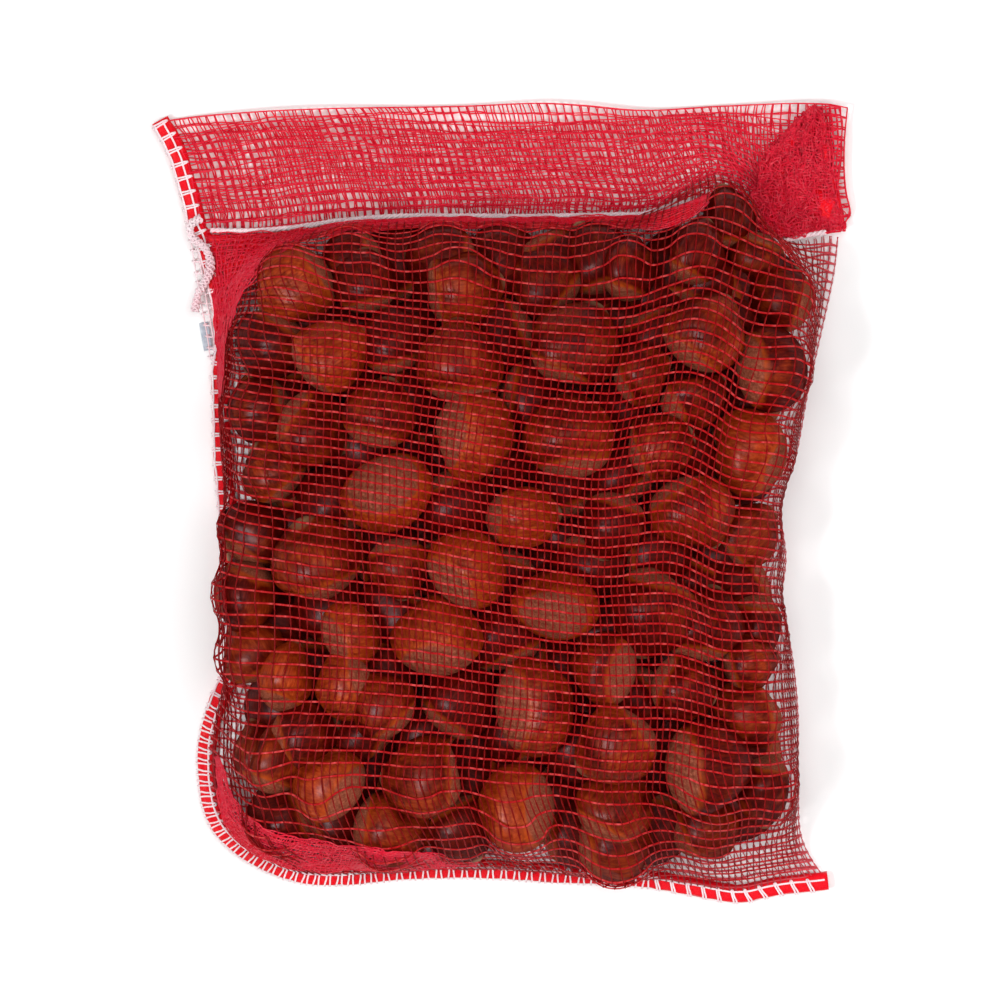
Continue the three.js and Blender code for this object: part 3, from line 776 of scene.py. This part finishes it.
SHELL_DARK = (
    (0.28, (0.026, 0.0004, 0.0001)), (0.5, (0.080, 0.0018, 0.0003)), (0.75, (0.16, 0.009, 0.001)),
)
SHELL_WARM = ((0.25, (0.17, 0.010, 0.001)), (0.5, (0.34, 0.034, 0.005)), (0.75, (0.50, 0.085, 0.016)))
BASE_PALE = ((0.3, (0.16, 0.030, 0.016)), (0.55, (0.29, 0.075, 0.040)), (0.75, (0.42, 0.14, 0.08)))
BORDER_COLOUR, TIP_COLOUR = (0.50, 0.075, 0.008), (0.34, 0.19, 0.10)


def chestnut_material():
    """Streaked dark or warm shell, a dull pale base with an orange border, and a pale tip."""
    n = Nodes("chestnut_shell")
    nut, seed, tone = n.attribute("nut", True), n.attribute("seed"), n.attribute("tone")
    offset = n.vector((seed, seed, seed), (37.0, 53.0, 71.0))
    own = n.scaled(nut, (1.0, 1.0, 1.0), offset)
    _, y, along = n.parts(nut)

    streaks = n.noise(n.scaled(nut, (9.0, 9.0, 1.3), offset), 1.6, 4.0, 0.65)
    dark = n.ramp(streaks, *SHELL_DARK)
    warm = n.ramp(streaks, *SHELL_WARM)
    patches = n.math("MULTIPLY", n.math("SUBTRACT", n.noise(own, 1.5), 0.5), 1.6)
    shell = n.mix(n.ramp(n.math("ADD", tone, patches), (0.15, 0.0), (0.95, 1.0)), dark, warm)

    waves = n.math("MULTIPLY", n.math("SUBTRACT", n.noise(own, 3.2, 3.0), 0.5), 0.16)
    edge = n.math("ADD", n.math("ADD", along, waves), n.math("MULTIPLY", y, 0.16))
    below = n.math("MULTIPLY", edge, -1.0)
    base = n.ramp(below, (0.60, 0.0), (0.68, 1.0))
    border = n.ramp(below, (0.46, 0.0), (0.60, 0.6), (0.70, 0.0))
    grain = n.noise(own, 16.0, 5.0, 0.7)
    colour = n.mix(border, shell, BORDER_COLOUR)
    colour = n.mix(base, colour, n.ramp(grain, *BASE_PALE))
    colour = n.mix(n.ramp(along, (0.93, 0.0), (0.985, 0.8)), colour, TIP_COLOUR)
    n.set(Base_Color=colour, Roughness=0.8, Specular_IOR_Level=0.0)
    relief = n.math("ADD", n.math("MULTIPLY", streaks, 0.35), n.math("MULTIPLY", grain, base))
    normal = n.bump(relief, 0.4, 0.0005)

    polish = n.new("ShaderNodeBsdfGlossy")
    n.feed(polish.inputs["Color"], (1.0, 0.80, 0.82))
    n.feed(polish.inputs["Roughness"], 0.36)
    n.link(normal, polish.inputs["Normal"])
    n.blended(n.ramp(base, (0.0, 0.026), (1.0, 0.003)), polish)
    return n.material


PAINTED_LIGHT_RED = (0.96, 0.15, 0.19)  # painted light: a paler red mixed into the net's threads near the floor

# Red plastics: how fast the pattern changes along a thread and between threads, colours, share
# and colour of the light that comes through, share of painted light (a paler red) near the floor
PLASTICS = {
    "red_net": (
        (0.42, 61.0),
        ((0.3, (0.38, 0.003, 0.006)), (0.5, (0.56, 0.010, 0.014)), (0.72, (0.84, 0.10, 0.10))),
        0.3, (0.8, 0.01, 0.02), 0.6,
    ),
    # The thinner upright threads are dimmer than the level ones
    "red_net_upright": (
        (0.42, 61.0),
        ((0.3, (0.20, 0.002, 0.003)), (0.5, (0.32, 0.006, 0.008)), (0.8, (0.52, 0.035, 0.035))),
        0.3, (0.5, 0.005, 0.01), 0.75,
    ),
    # The hem's layers show through each other; their paler reds are painted light, for the light that
    # shines through them
    "red_net_layers_painted_light": (
        (0.42, 61.0),
        ((0.3, (0.80, 0.008, 0.045)), (0.5, (0.94, 0.035, 0.085)), (0.72, (0.99, 0.15, 0.20))),
        0.5, (1.0, 0.04, 0.09), 0.0,
    ),
    # Net pressed so close that only its ridges show
    "red_net_band": (
        (1.7, 24.0),
        ((0.25, (0.60, 0.001, 0.006)), (0.5, (0.88, 0.003, 0.014)), (0.8, (0.98, 0.030, 0.045))),
        0.2, (1.0, 0.01, 0.03), 0.0,
    ),
}


def near_floor(n, share):
    """That share of a mix by the floor, and none of it 9 mm above: the mask of the painted light on
    threads near the floor.
    """
    height = n.parts(n.place())["Z"]
    return n.ramp(n.math("MULTIPLY", height, 60.0), (0.2, share), (0.55, 0.0))


def red_plastic(name):
    """Red plastic thread that lets light through from behind."""
    pattern, stops, glow_share, glow_colour, bare = PLASTICS[name]
    n = Nodes(name)
    patches = n.noise(n.vector((n.attribute("run"), n.attribute("strand")), pattern), 1.0, 3.0, 0.6)
    red = n.ramp(patches, *stops)
    # Painted light: threads near the floor are mixed towards a paler red, as if lit there
    if bare:
        red = n.mix(near_floor(n, bare), red, PAINTED_LIGHT_RED)
    roughness = n.ramp(patches, (0.2, 0.5), (0.8, 0.38))
    n.set(Base_Color=red, Roughness=roughness, Specular_IOR_Level=0.2)
    n.bump(patches, 0.4, 0.0002)
    glow = n.new("ShaderNodeBsdfTranslucent")
    n.feed(glow.inputs["Color"], glow_colour)
    n.blended(glow_share, glow)
    return n.material


def thread_material():
    n = Nodes("white_thread")
    fibres = n.noise(n.place(), 2400.0, 3.0, 0.6)
    soft = n.noise(n.place(), 160.0, 2.0)
    white = n.ramp(fibres, (0.25, (0.74, 0.56, 0.60)), (0.6, (0.95, 0.82, 0.84)))
    tint = n.ramp(soft, (0.35, (1.0, 0.84, 0.87)), (0.65, (1.0, 1.0, 1.0)))
    n.set(Base_Color=n.mix(1.0, white, tint, "MULTIPLY"), Sheen_Weight=0.3)
    n.set(Roughness=n.ramp(fibres, (0.2, 0.85), (0.8, 0.7)))
    n.bump(fibres, 0.6, 0.00015)
    return n.material


def paper_material():
    n = Nodes("label_paper")
    cloud = n.noise(n.place(), 900.0, 3.0)
    n.set(Base_Color=n.ramp(cloud, (0.3, (0.36, 0.42, 0.50)), (0.7, (0.56, 0.62, 0.68))))
    n.set(Roughness=n.ramp(cloud, (0.2, 0.7), (0.8, 0.55)))
    n.bump(cloud, 0.3, 0.0001)
    return n.material


def floor_material():
    n = Nodes("white_floor")
    n.set(Base_Color=(0.93, 0.93, 0.93), Roughness=0.9, Specular_IOR_Level=0.1)
    return n.material


# ---- The camera, floor and lights ----------------------------------------------------------

CAMERA_HEIGHT = 3.0
PIXEL = 0.33 * MM  # at the height of the bag's middle
MIDDLE_HEIGHT = 0.022
VIEW_CENTRE = (-0.5 * MM, 1.0 * MM)
SENSOR = 36.0
FRAME_PIXELS = 1000
FLOOR_HALF = 3.0
SKY = 0.24
LAMPS = [  # name, place, size, watts, whether the shells' polish reflects it
    ("key", (-0.72, -0.38, 1.25), 0.30, 10.5, True),
    ("side", (1.0, -0.30, 0.85), 0.8, 7.5, False),
    ("soft", (0.1, 0.2, 1.6), 1.2, 14.5, False),
]


def camera():
    """Straight above the bag, which fills the picture as in the photograph."""
    data = bpy.data.cameras.new("camera")
    data.sensor_width = SENSOR
    data.lens = SENSOR * (CAMERA_HEIGHT - MIDDLE_HEIGHT) / (FRAME_PIXELS * PIXEL)
    data.clip_end = 20
    holder = in_scene("camera", data)
    holder.location = (*VIEW_CENTRE, CAMERA_HEIGHT)
    bpy.context.scene.camera = holder


def lamp(name, place, size, power, reflected):
    """A round lamp that points at the middle of the floor."""
    data = bpy.data.lights.new(name, "AREA")
    data.shape = "DISK"
    data.size = size
    data.energy = power
    holder = in_scene(name, data)
    holder.location = place
    holder.rotation_mode = "QUATERNION"
    holder.rotation_quaternion = (-Vector(place)).to_track_quat("-Z", "Y")
    holder.visible_glossy = reflected


def studio():
    world = bpy.data.worlds.new("studio")
    world.use_nodes = True
    background = world.node_tree.nodes["Background"]
    background.inputs["Color"].default_value = (1, 1, 1, 1)
    background.inputs["Strength"].default_value = SKY
    bpy.context.scene.world = world
    for settings in LAMPS:
        lamp(*settings)
    bpy.context.scene.view_settings.view_transform = "Standard"


def floor():
    mesh = bpy.data.meshes.new("floor")
    corners = [(-1, -1), (1, -1), (1, 1), (-1, 1)]
    mesh.from_pydata([(x * FLOOR_HALF, y * FLOOR_HALF, 0) for x, y in corners], [], [(0, 1, 2, 3)])
    mesh.materials.append(floor_material())
    in_scene("floor", mesh)


# ---- Lines and sheets of this bag ----------------------------------------------------------

edge_line = smooth(LEFT_AND_BOTTOM_EDGE, 260)
FOLD_HEIGHT = 1.6  # of the right side, where the front layer turns into the back one
CORNER = (-78, -122.4)  # where the net's left edge turns into its bottom edge
SEAM_INSET = 2.4  # of the net's sheets from the seam's outer side
EVENED_OVER = 2.4  # how far round a spot the front sheet's height counts


def seam_line():
    """The front layer's edge, which leaves the back layer's for a stretch."""
    share = np.clip((edge_line[:, 1] - SPLIT["from"]) / (SPLIT["to"] - SPLIT["from"]), 0, 1)
    apart = np.where(edge_line[:, 0] < 0, SPLIT["by"] * np.sin(np.pi * share) ** 0.7, 0)
    return edge_line + left_of(edge_line) * apart[:, None]


def inset_seam(inset):
    line = seam_line()
    return line + left_of(line) * inset


def seam_from_cord_to_corner(line):
    """The left edge below the drawstring, from the bottom up, and the bottom edge."""
    corner = int(np.argmin(np.hypot(line[:, 0] - CORNER[0], line[:, 1] - CORNER[1])))
    start = int(np.argmax(line[:, 1] < FRONT_TOP[0][1]))
    return line[start : corner + 1][::-1], line[corner:]


def body_edges(inset, height, fold_height, top_height):
    left, bottom = seam_from_cord_to_corner(inset_seam(inset))
    left, bottom = at_height(left, height), at_height(bottom, height)
    right = at_height(smooth(RIGHT_FOLD, 60), fold_height)
    right[0] = bottom[-1]
    top = at_height(smooth(FRONT_TOP, 80), top_height)
    top[0], top[-1] = left[-1], right[-1]
    return bottom, top, left, right


def doubled(grid, placed):
    """Where a second layer's upright threads lie beside the left seam."""
    strip = (grid[1:, :11] + grid[:-1, :11]) / 2
    strip = jostled(strip, 0.6, (12, 3), 26) + [0.0, 0.0, 0.5]
    return kept_off(strip, placed, CLEAR + 0.5)


def front_sheet(placed):
    edges = body_edges(SEAM_INSET, 2.4, FOLD_HEIGHT, 3.6)
    grid = drawn_tight(edges, WEFT_COUNT, WARP_COUNT, placed, 1.3)
    return kept_off(jostled(grid, 0.5, (9, 9), 21), placed, CLEAR)


def laid_on(grid, under, gap):
    """The grid lifted where it would lie less than the gap above the other sheet, evened out."""
    flat = under.reshape(-1, 3)
    for row in grid:
        away = (row[:, None, 0] - flat[None, :, 0]) ** 2 + (row[:, None, 1] - flat[None, :, 1]) ** 2
        weight = np.exp((away.min(1)[:, None] - away) / EVENED_OVER**2)
        level = (weight * flat[None, :, 2]).sum(1) / weight.sum(1)
        row[:, 2] = np.maximum(row[:, 2], level + gap)
    return grid


def front_net(sheet, placed, material, upright):
    weft, warp = Threads(), Threads()
    weft_threads(weft, sheet[1:-1])
    warp_threads(warp, sheet[:, 1:])
    warp_threads(warp, doubled(sheet, placed)[:, 1:], 1)
    return [weft.piece("front_weft", material), warp.piece("front_warp", upright)]


def back_net(material, upright):
    grid = grid_between(body_edges(SEAM_INSET, 1.4, FOLD_HEIGHT, 1.2), WEFT_COUNT, WARP_COUNT)
    grid[1:-1, 1:-1, 2] = 0.5
    grid = jostled(grid, 0.8, (8, 8), 31)
    grid[..., 2] = np.maximum(grid[..., 2], 0.45)
    weft, warp = Threads(), Threads()
    weft_threads(weft, grid[1:-1], fine=False)
    warp_threads(warp, grid[:, 1:-1], 1, fine=False)
    return [weft.piece("back_weft", material), warp.piece("back_warp", upright)]


# Each of the hem's layers: height at the drawstring, share of the hem's height that it fills,
# sideways offset, level threads, upright threads, seed
HEM_LAYERS = [
    (0.9, 1.0, 0.0, 13, 84, 41), (1.7, 1.0, 1.3, 12, 78, 42),
    (2.6, 0.86, 0.6, 11, 90, 43), (3.5, 0.82, 1.9, 10, 80, 44),
]
HEM_LOW = [
    (-101.2, 89.4), (-83, 90), (-56.6, 93), (-7, 95), (46, 95.6), (72, 96), (88, 88.3),
    (112.6, 90.2),
]
HEM_LOW_OVER = [
    (-101.2, 89.4), (-83, 90), (-56.6, 93), (-7, 95), (46, 96), (57, 102.5), (71, 109),
    (83, 102), (88, 90), (112.6, 90.2),
]


def hem_sheet(height, fill, offset, rows, columns, seed):
    """One layer of the hem, which rises in soft waves at its free edge."""
    low = smooth(HEM_LOW_OVER if height > 2 else HEM_LOW, columns)
    high = smooth(TOP_EDGE, columns)[::-1].copy()
    seam = inset_seam(SEAM_INSET)
    left = seam[: int(np.argmax(seam[:, 1] < HEM_LOW[0][1]))][::-1]
    right = curve_through([HEM_LOW[-1]] + HEM_RIGHT_END)
    high[0], high[-1] = left[-1], right[-1]
    grid = coons(low, high, spaced(left, rows + 1), spaced(right, rows + 1))
    u = np.linspace(0, 1, columns + 1)[None]
    edge = fill + (1 - fill) * 0.45 * np.sin(u * 11 + seed)
    full = np.linspace(0, 1, rows + 1)
    v = full[:, None] * edge
    out = np.empty_like(grid)
    for j in range(columns + 1):
        out[:, j] = np.column_stack([np.interp(v[:, j], full, grid[:, j, k]) for k in range(3)])
    out[..., 0] += offset * (u > 0.02) * (u < 0.98)
    out[..., 2] = height + HEM_LIFT * v**2 * (1 - np.cos(2 * math.pi * HEM_WAVES * u)) / 2
    return jostled(jostled(out, 1.0, (3, 9), seed), 0.5, (6, 24), seed + 100)


def hem(material):
    pieces = []
    for name, layers in (("hem_layers_1", HEM_LAYERS[:2]), ("hem_layers_2", HEM_LAYERS[2:])):
        threads = Threads()
        for layer in layers:
            woven(threads, hem_sheet(*layer), 0.66, 1.3)
        pieces.append(threads.piece(name, material))
    return pieces


def patch(edges, rows, columns, height, rise, rough, cells, seed):
    """A crumpled piece of net between four edge lines, with its threads pressed together."""
    grid = grid_between([at_height(curve_through(edge), height) for edge in edges], rows, columns)
    size = grid.shape[:2]
    grid[..., 2] += rise * (0.5 + 0.5 * soft_noise(size, cells, seed + 5)[..., 0])
    grid += soft_noise(size, (rows // 3 + 1, columns // 3 + 1), seed, 3) * rough
    return grid + soft_noise(size, (rows, columns), seed + 1, 3) * rough * 0.25


def strip(low, high):
    """The four edge lines of a patch whose two ends are straight."""
    return [low, high, [low[0], high[0]], [low[-1], high[-1]]]


BUNCH_EDGES = [
    [(85, 91), (95, 88.8), (114.6, 91.2)], [(98, 127), (103, 130.6), (106, 131.4)],
    [(85, 91), (83, 104), (89, 117), (98, 127)], [(114.6, 91.2), (112.6, 99), (109, 112), (106, 131.4)],
]
SLIVER_EDGES = [
    [(108, 91), (114, 91.4)], [(105, 131), (112.6, 131.6)],
    [(108, 91), (107, 112), (105, 131)], [(114, 91.4), (112, 103), (112.8, 118), (112.6, 131.6)],
]
GATHER_EDGES = [
    [(-93.4, 36), (-92.6, 36.2)], [(-97.8, 89), (-77, 89.6), (-55, 92)],
    [(-93.4, 36), (-94.6, 58), (-97.8, 89)], [(-92.6, 36.2), (-91, 55), (-81, 76), (-55, 92)],
]
BELOW_CORD_EDGES = strip(
    [(-60, 87.5), (-33, 90.5), (0, 90.8), (30, 91), (44, 90.6), (54, 90.6), (62, 94), (68, 99)],
    [(-60, 91.6), (-33.5, 94.4), (0, 94.4), (30, 94.9), (50, 95.8), (57, 98), (68.5, 102)],
)
FOOT_LINE = [(-94.4, -84), (-92, -105), (-84, -115), (-66.5, -121.5), (-45, -121.5)]
FOOT_EDGES = strip(
    FOOT_LINE + [(-8, -120)],
    [(-93.8, -84), (-86, -101), (-76, -108), (-60, -111.5), (-40, -114), (-8, -117.8)],
)
FOOT_PRESSED_EDGES = strip(
    FOOT_LINE + [(-20, -120.4)],
    [(-94, -84), (-89.6, -103.4), (-81, -112), (-64, -117.5), (-43, -118.6), (-20, -119.6)],
)


def thin_sheet(grid, thickness):
    """Points and faces of a sheet's two sides and its rim; rows of the grid run along it."""
    rows, columns = grid.shape[:2]
    index = np.arange(rows * columns).reshape(rows, columns)
    quads = np.stack([index[:-1, :-1], index[:-1, 1:], index[1:, 1:], index[1:, :-1]], -1).reshape(-1, 4)
    below = quads[:, ::-1] + rows * columns
    rim = np.concatenate([index[0, :-1], index[:-1, -1], index[-1, :0:-1], index[:0:-1, 0]])
    after = np.roll(rim, -1)
    walls = np.stack([rim, rim + rows * columns, after + rows * columns, after], -1)
    points = np.concatenate([grid.reshape(-1, 3), (grid - [0, 0, thickness]).reshape(-1, 3)])
    return points, np.vstack([quads, below, walls])


# Net pressed into a close sheet: edges, rows, columns, height, rise
PRESSED = [
    (BUNCH_EDGES, 60, 60, 1.9, 2.4), (GATHER_EDGES, 80, 36, 3.2, 0.8),
    (BELOW_CORD_EDGES, 10, 180, 2.8, 0.6), (FOOT_PRESSED_EDGES, 14, 150, 2.8, 0.6),
]


def pressed_net(material, sheet):
    points, faces, start = [], [], 0
    for number, (edges, rows, columns, height, rise) in enumerate(PRESSED):
        grid = patch(edges, rows, columns, height, rise, 0.0, (5, 6), 111 + number)
        if edges is not BUNCH_EDGES:
            grid = laid_on(grid, sheet, 0.3)
        bumps = soft_noise(grid.shape[:2], (rows // 2, columns // 2), 121 + number)[..., 0]
        grid[..., 2] += 0.35 * bumps
        some_points, some_faces = thin_sheet(grid, 0.4)
        points.append(some_points)
        faces.append(some_faces + start)
        start += len(some_points)
    points = np.vstack(points)
    values = {"run": points[:, 0], "strand": points[:, 1] / 14}
    return mesh_piece("pressed_net", points, [np.vstack(faces)], material, values)


# Loose net over the pressed net, layer by layer: edges, rows, columns, height, rise, roughness,
# bumps each way, seed, height above the front sheet
BUNCHED = [
    (SLIVER_EDGES, 16, 5, 2.0, 2.0, 0.6, (4, 3), 57), (SLIVER_EDGES, 16, 5, 3.0, 2.0, 0.6, (4, 3), 58),
    (BUNCH_EDGES, 44, 44, 2.6, 3.0, 1.3, (4, 5), 51), (BUNCH_EDGES, 44, 44, 3.3, 3.0, 1.3, (4, 5), 52),
]
GATHERED = [
    (GATHER_EDGES, 30, 20, 3.6, 0.8, 1.1, (5, 5), 61, 1.0),
    (GATHER_EDGES[2:] + GATHER_EDGES[:2], 22, 26, 3.6, 0.8, 1.1, (5, 5), 62, 1.4),
    (BELOW_CORD_EDGES, 8, 70, 3.2, 0.8, 0.5, (2, 14), 68, 1.0),
    (FOOT_EDGES, 12, 70, 3.2, 0.8, 0.8, (3, 12), 71, 0.9),
    (FOOT_EDGES, 12, 70, 3.2, 0.8, 0.8, (3, 12), 72, 1.25),
]


def gathers(material, sheet):
    """Net pressed together at the hem's right end, at the left seam and along the foot."""
    bunched, gathered = Threads(), Threads()
    for layer in BUNCHED:
        woven(bunched, patch(*layer), *((0.8, 1.3) if layer[0] is SLIVER_EDGES else (0.55, 0.9)))
    for *layer, gap in GATHERED:
        woven(gathered, laid_on(patch(*layer), sheet, gap), 0.6, 1.0)
    return [bunched.piece("hem_bunch", material), gathered.piece("gathered_net", material)]


# ---- Seam, cord, tail and label ------------------------------------------------------------

BAND_WIDTH = 6.0  # of the net gathered under and beside the stitches
BAND_SECTION = [  # across the band: share of its width, share of its height
    (0.0, 0.35), (0.03, 0.8), (0.14, 1.0), (0.28, 0.9), (0.42, 1.0), (0.56, 0.88), (0.7, 0.96),
    (0.84, 0.78), (0.97, 0.6), (1.0, 0.2), (0.6, 0.0), (0.2, 0.0),
]


def along_seam(line, at, inward, height):
    """Points at distances along a level line, moved inwards from it, at given heights."""
    points = read_off(line, at) + read_off(line, at, left_of(line)) * np.asarray(inward)[:, None]
    points[:, 2] = height
    return points


def gathered_band(material):
    """The gathered edge under the stitches, as a ridged tape whose surface is pressed thread."""
    line = seam_line()
    length = length_of(line)
    stations = np.linspace(0, length, int(length / 0.8))
    chance = np.random.default_rng(81)
    rings = []
    for share, high in BAND_SECTION:
        wave = soft_noise((len(stations), 2), (len(stations) // 3, 1), chance.integers(1e6))[:, 0, 0]
        height = NET_BOTTOM + (EDGE_TOP - NET_BOTTOM) * high + 0.25 * wave * (high > 0.3)
        rings.append(along_seam(line, stations, share * BAND_WIDTH + 0.25 * wave, height))
    grid = np.stack(rings, 1)
    many, sides = grid.shape[:2]
    index = np.arange(many * sides).reshape(many, sides)
    nxt = np.roll(index, -1, axis=1)
    quads = np.stack([index[:-1], nxt[:-1], nxt[1:], index[1:]], -1).reshape(-1, 4)
    ends = np.stack([index[0, ::-1], index[-1]])
    values = {"strand": np.tile(np.arange(sides) / sides, many), "run": np.repeat(stations, sides)}
    return mesh_piece("gathered_edge", grid.reshape(-1, 3), [quads, ends], material, values)


# Stitches along the seam: where each kind starts, its pitch, half the spread of its legs at the
# edge, how far its loop reaches inwards, how far it leans along the seam
STITCHES = [
    (0, 4.8, 0.5, 5.2, 0.0), (118, 4.8, 0.5, 4.9, 0.3), (196, 3.7, 0.85, 4.6, 0.8),
    (262, 3.9, 0.9, 4.9, 0.6), (296, 4.3, 1.0, 4.9, 0.0), (392, 5.2, 0.5, 4.4, -1.6),
]
STITCH_THREAD = 0.66
STITCH_TOP = EDGE_TOP + 0.35
# A leg's points from its loop inwards over the edge and under it: shares of the lean and of the
# spread, distance inwards after the first, height
LEG_LEAN = np.array([1, 0.9, 0.6, 0.2, 0, 0, 0.1])
LEG_SPREAD = np.array([0.12, 0.75, 0.7, 0.9, 1.0, 0.9, 0.6])
LEG_INWARD = (3.8, 2.2, 0.9, -0.15, -0.35, 0.9)
LEG_HEIGHT = STITCH_TOP + np.array([-0.5, 0.15, 0, -0.1, -1.1, 1.8 - STITCH_TOP, 0.9 - STITCH_TOP])
# Threads along the seam: distance inwards, height, waves, where it ends
SEAM_LINES = ((3.5, STITCH_TOP, 0.16, 1e3), (0.35, STITCH_TOP - 0.05, 0.22, 200))
BACK_LEG_RUN = np.array([0.5, 0.3, 0, -0.3, -0.5, -0.6])
BACK_LEG_INWARD = (2.6, 1.7, 0.4, -0.5, -0.4, 0.8)
BACK_LEG_HEIGHT = (3.3, 3.7, 3.6, 2.8, 1.5, 0.9)


def stitch_places(length):
    """Distance along the seam and form of every stitch."""
    places, at = [], 1.2
    while at < length - 1.0:
        _, pitch, *form = [kind for kind in STITCHES if kind[0] <= at][-1]
        places.append((at, form))
        at += pitch
    return places


def edge_stitches(material):
    """Overlock thread: legs from each stitch's loop round the edge, and the line that joins them."""
    line = seam_line()
    chance = np.random.default_rng(91)
    threads = Threads()
    legs = []
    for at, (spread, reach, leaning) in stitch_places(length_of(line)):
        nudge = chance.uniform(-0.25, 0.25, 4)
        inward = np.array([reach + nudge[0], *LEG_INWARD])
        for side in (-1, 1):
            where = at + leaning * LEG_LEAN + side * spread * LEG_SPREAD
            rough = along_seam(line, where + nudge[1] * 0.4, inward, LEG_HEIGHT)
            legs.append(spaced(curve_through(rough, per_span=4), 13))
    threads.add_free(np.array(legs), STITCH_THREAD, STITCH_THREAD, 6)
    for inward, height, wave, end in SEAM_LINES:
        stations = np.arange(1.0, length_of(line) - 0.8, 0.8)
        stations = stations[stations < end]
        shift = soft_noise((len(stations), 2), (len(stations) // 4, 1), 95)[:, 0, 0] * wave
        row = along_seam(line, stations, inward + shift, height + 0.5 * shift)
        threads.add_free(row[None], 0.72, 0.55, 6)
    return threads.piece("edge_stitches", material)


def back_edge_stitches(material):
    """The back layer's stitches where the two edges lie apart."""
    line = edge_line[(edge_line[:, 0] < 0) & (edge_line[:, 1] > 46) & (edge_line[:, 1] < 89)]
    length = length_of(line)
    threads, chance = Threads(), np.random.default_rng(97)
    rows = []
    for at in np.arange(1.0, length - 1, 3.6):
        where = at + chance.uniform(-0.3, 0.3) + BACK_LEG_RUN
        leg = along_seam(line, where, BACK_LEG_INWARD, BACK_LEG_HEIGHT)
        rows.append(spaced(curve_through(leg, per_span=4), 11))
    threads.add_free(np.array(rows), 0.55, 0.5, 5)
    for inward in (0.0, 1.9):
        stations = np.arange(0.5, length - 0.5, 0.9)
        row = along_seam(line, stations, np.full(len(stations), inward), 3.65)
        threads.add_free(row[None], 0.5, 0.5, 5)
    return threads.piece("back_edge_stitches", material)


TWIST_STEP = 0.45  # between points along a wound line


def twisted(threads, line, radius, thickness, lay, sides, seed):
    """Three plies that wind round a line, one turn for each lay."""
    count = int(length_of(line) / TWIST_STEP)
    centre = spaced(curve_through(line, per_span=8), count)
    along = unit(np.gradient(centre, axis=0))
    side = unit(np.cross(along, [0, 0, 1.0]))
    up = np.cross(side, along)
    turn = np.arange(count) * TWIST_STEP / lay * 2 * math.pi
    reach = radius * (1 + 0.25 * soft_noise((count, 2), (count // 6 + 1, 1), seed)[:, :1, 0])
    rows = []
    for phase in (0, 2 * math.pi / 3, 4 * math.pi / 3):
        at = (turn + phase)[:, None]
        rows.append(centre + (side * np.cos(at) + up * np.sin(at)) * reach)
    threads.add_free(np.array(rows), thickness, thickness, sides)


def drawstring(material):
    threads = Threads()
    twisted(threads, at_height(smooth(DRAWSTRING, 28)[1:-1], CORD_HEIGHT), 0.46, 0.98, 5.5, 7, 3)
    return threads.piece("cord", material)


def thread_tail(material):
    """The chain of loose overlock thread: loops wound round a wavy line."""
    threads = Threads()
    line = at_height(smooth(THREAD_TAIL, 40), TAIL_HEIGHT)
    for radius, lay, seed in ((1.2, 4.6, 7), (0.95, -3.7, 8), (0.5, 7.0, 9)):
        twisted(threads, line, radius, 0.7, lay, 5, seed)
    return threads.piece("tail_chain", material)


def label_end(material):
    """The visible sliver of a paper label, a thin slip that curls a little."""
    (cx, cy, cz), (long, wide, thick) = LABEL["at"], LABEL["size"]
    turn = math.radians(LABEL["turn"])
    v, u = np.meshgrid(np.linspace(-0.5, 0.5, 7), np.linspace(-0.5, 0.5, 13), indexing="ij")
    x, y = u * long, v * wide
    across, along = x * math.cos(turn) - y * math.sin(turn), x * math.sin(turn) + y * math.cos(turn)
    bend = 0.5 * (v + 0.5) ** 2 + 0.15 * np.cos(u * 5)
    points, faces = thin_sheet(np.stack([cx + across, cy + along, cz + thick / 2 + bend], -1), thick)
    return mesh_piece("label_slip", points, [faces], material)


# ---- Building ------------------------------------------------------------------------------


def dressed(slot, node, *pieces):
    for piece in pieces:
        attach(piece, "root")
        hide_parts(node)


def build():
    camera()
    placed = layout()
    red, upright = red_plastic("red_net"), red_plastic("red_net_upright")
    layered, pressed = red_plastic("red_net_layers_painted_light"), red_plastic("red_net_band")
    white = thread_material()
    dressed("chestnut", "net_bag", chestnuts(placed, chestnut_material()))
    sheet = front_sheet(placed)
    dressed("net", "net_bag", *front_net(sheet, placed, red, upright), *back_net(red, upright))
    dressed("net", "net_bag", *hem(layered), *gathers(layered, sheet))
    dressed("net", "net_bag", pressed_net(pressed, sheet), gathered_band(pressed))
    dressed("white_thread", "edge_stitching", edge_stitches(white))
    dressed("white_thread", "back_edge_stitching", back_edge_stitches(white))
    dressed("white_thread", "drawstring", drawstring(white))
    dressed("white_thread", "thread_tail", thread_tail(white))
    dressed("paper", "label_end", label_end(paper_material()))
    floor()
    studio()


build()
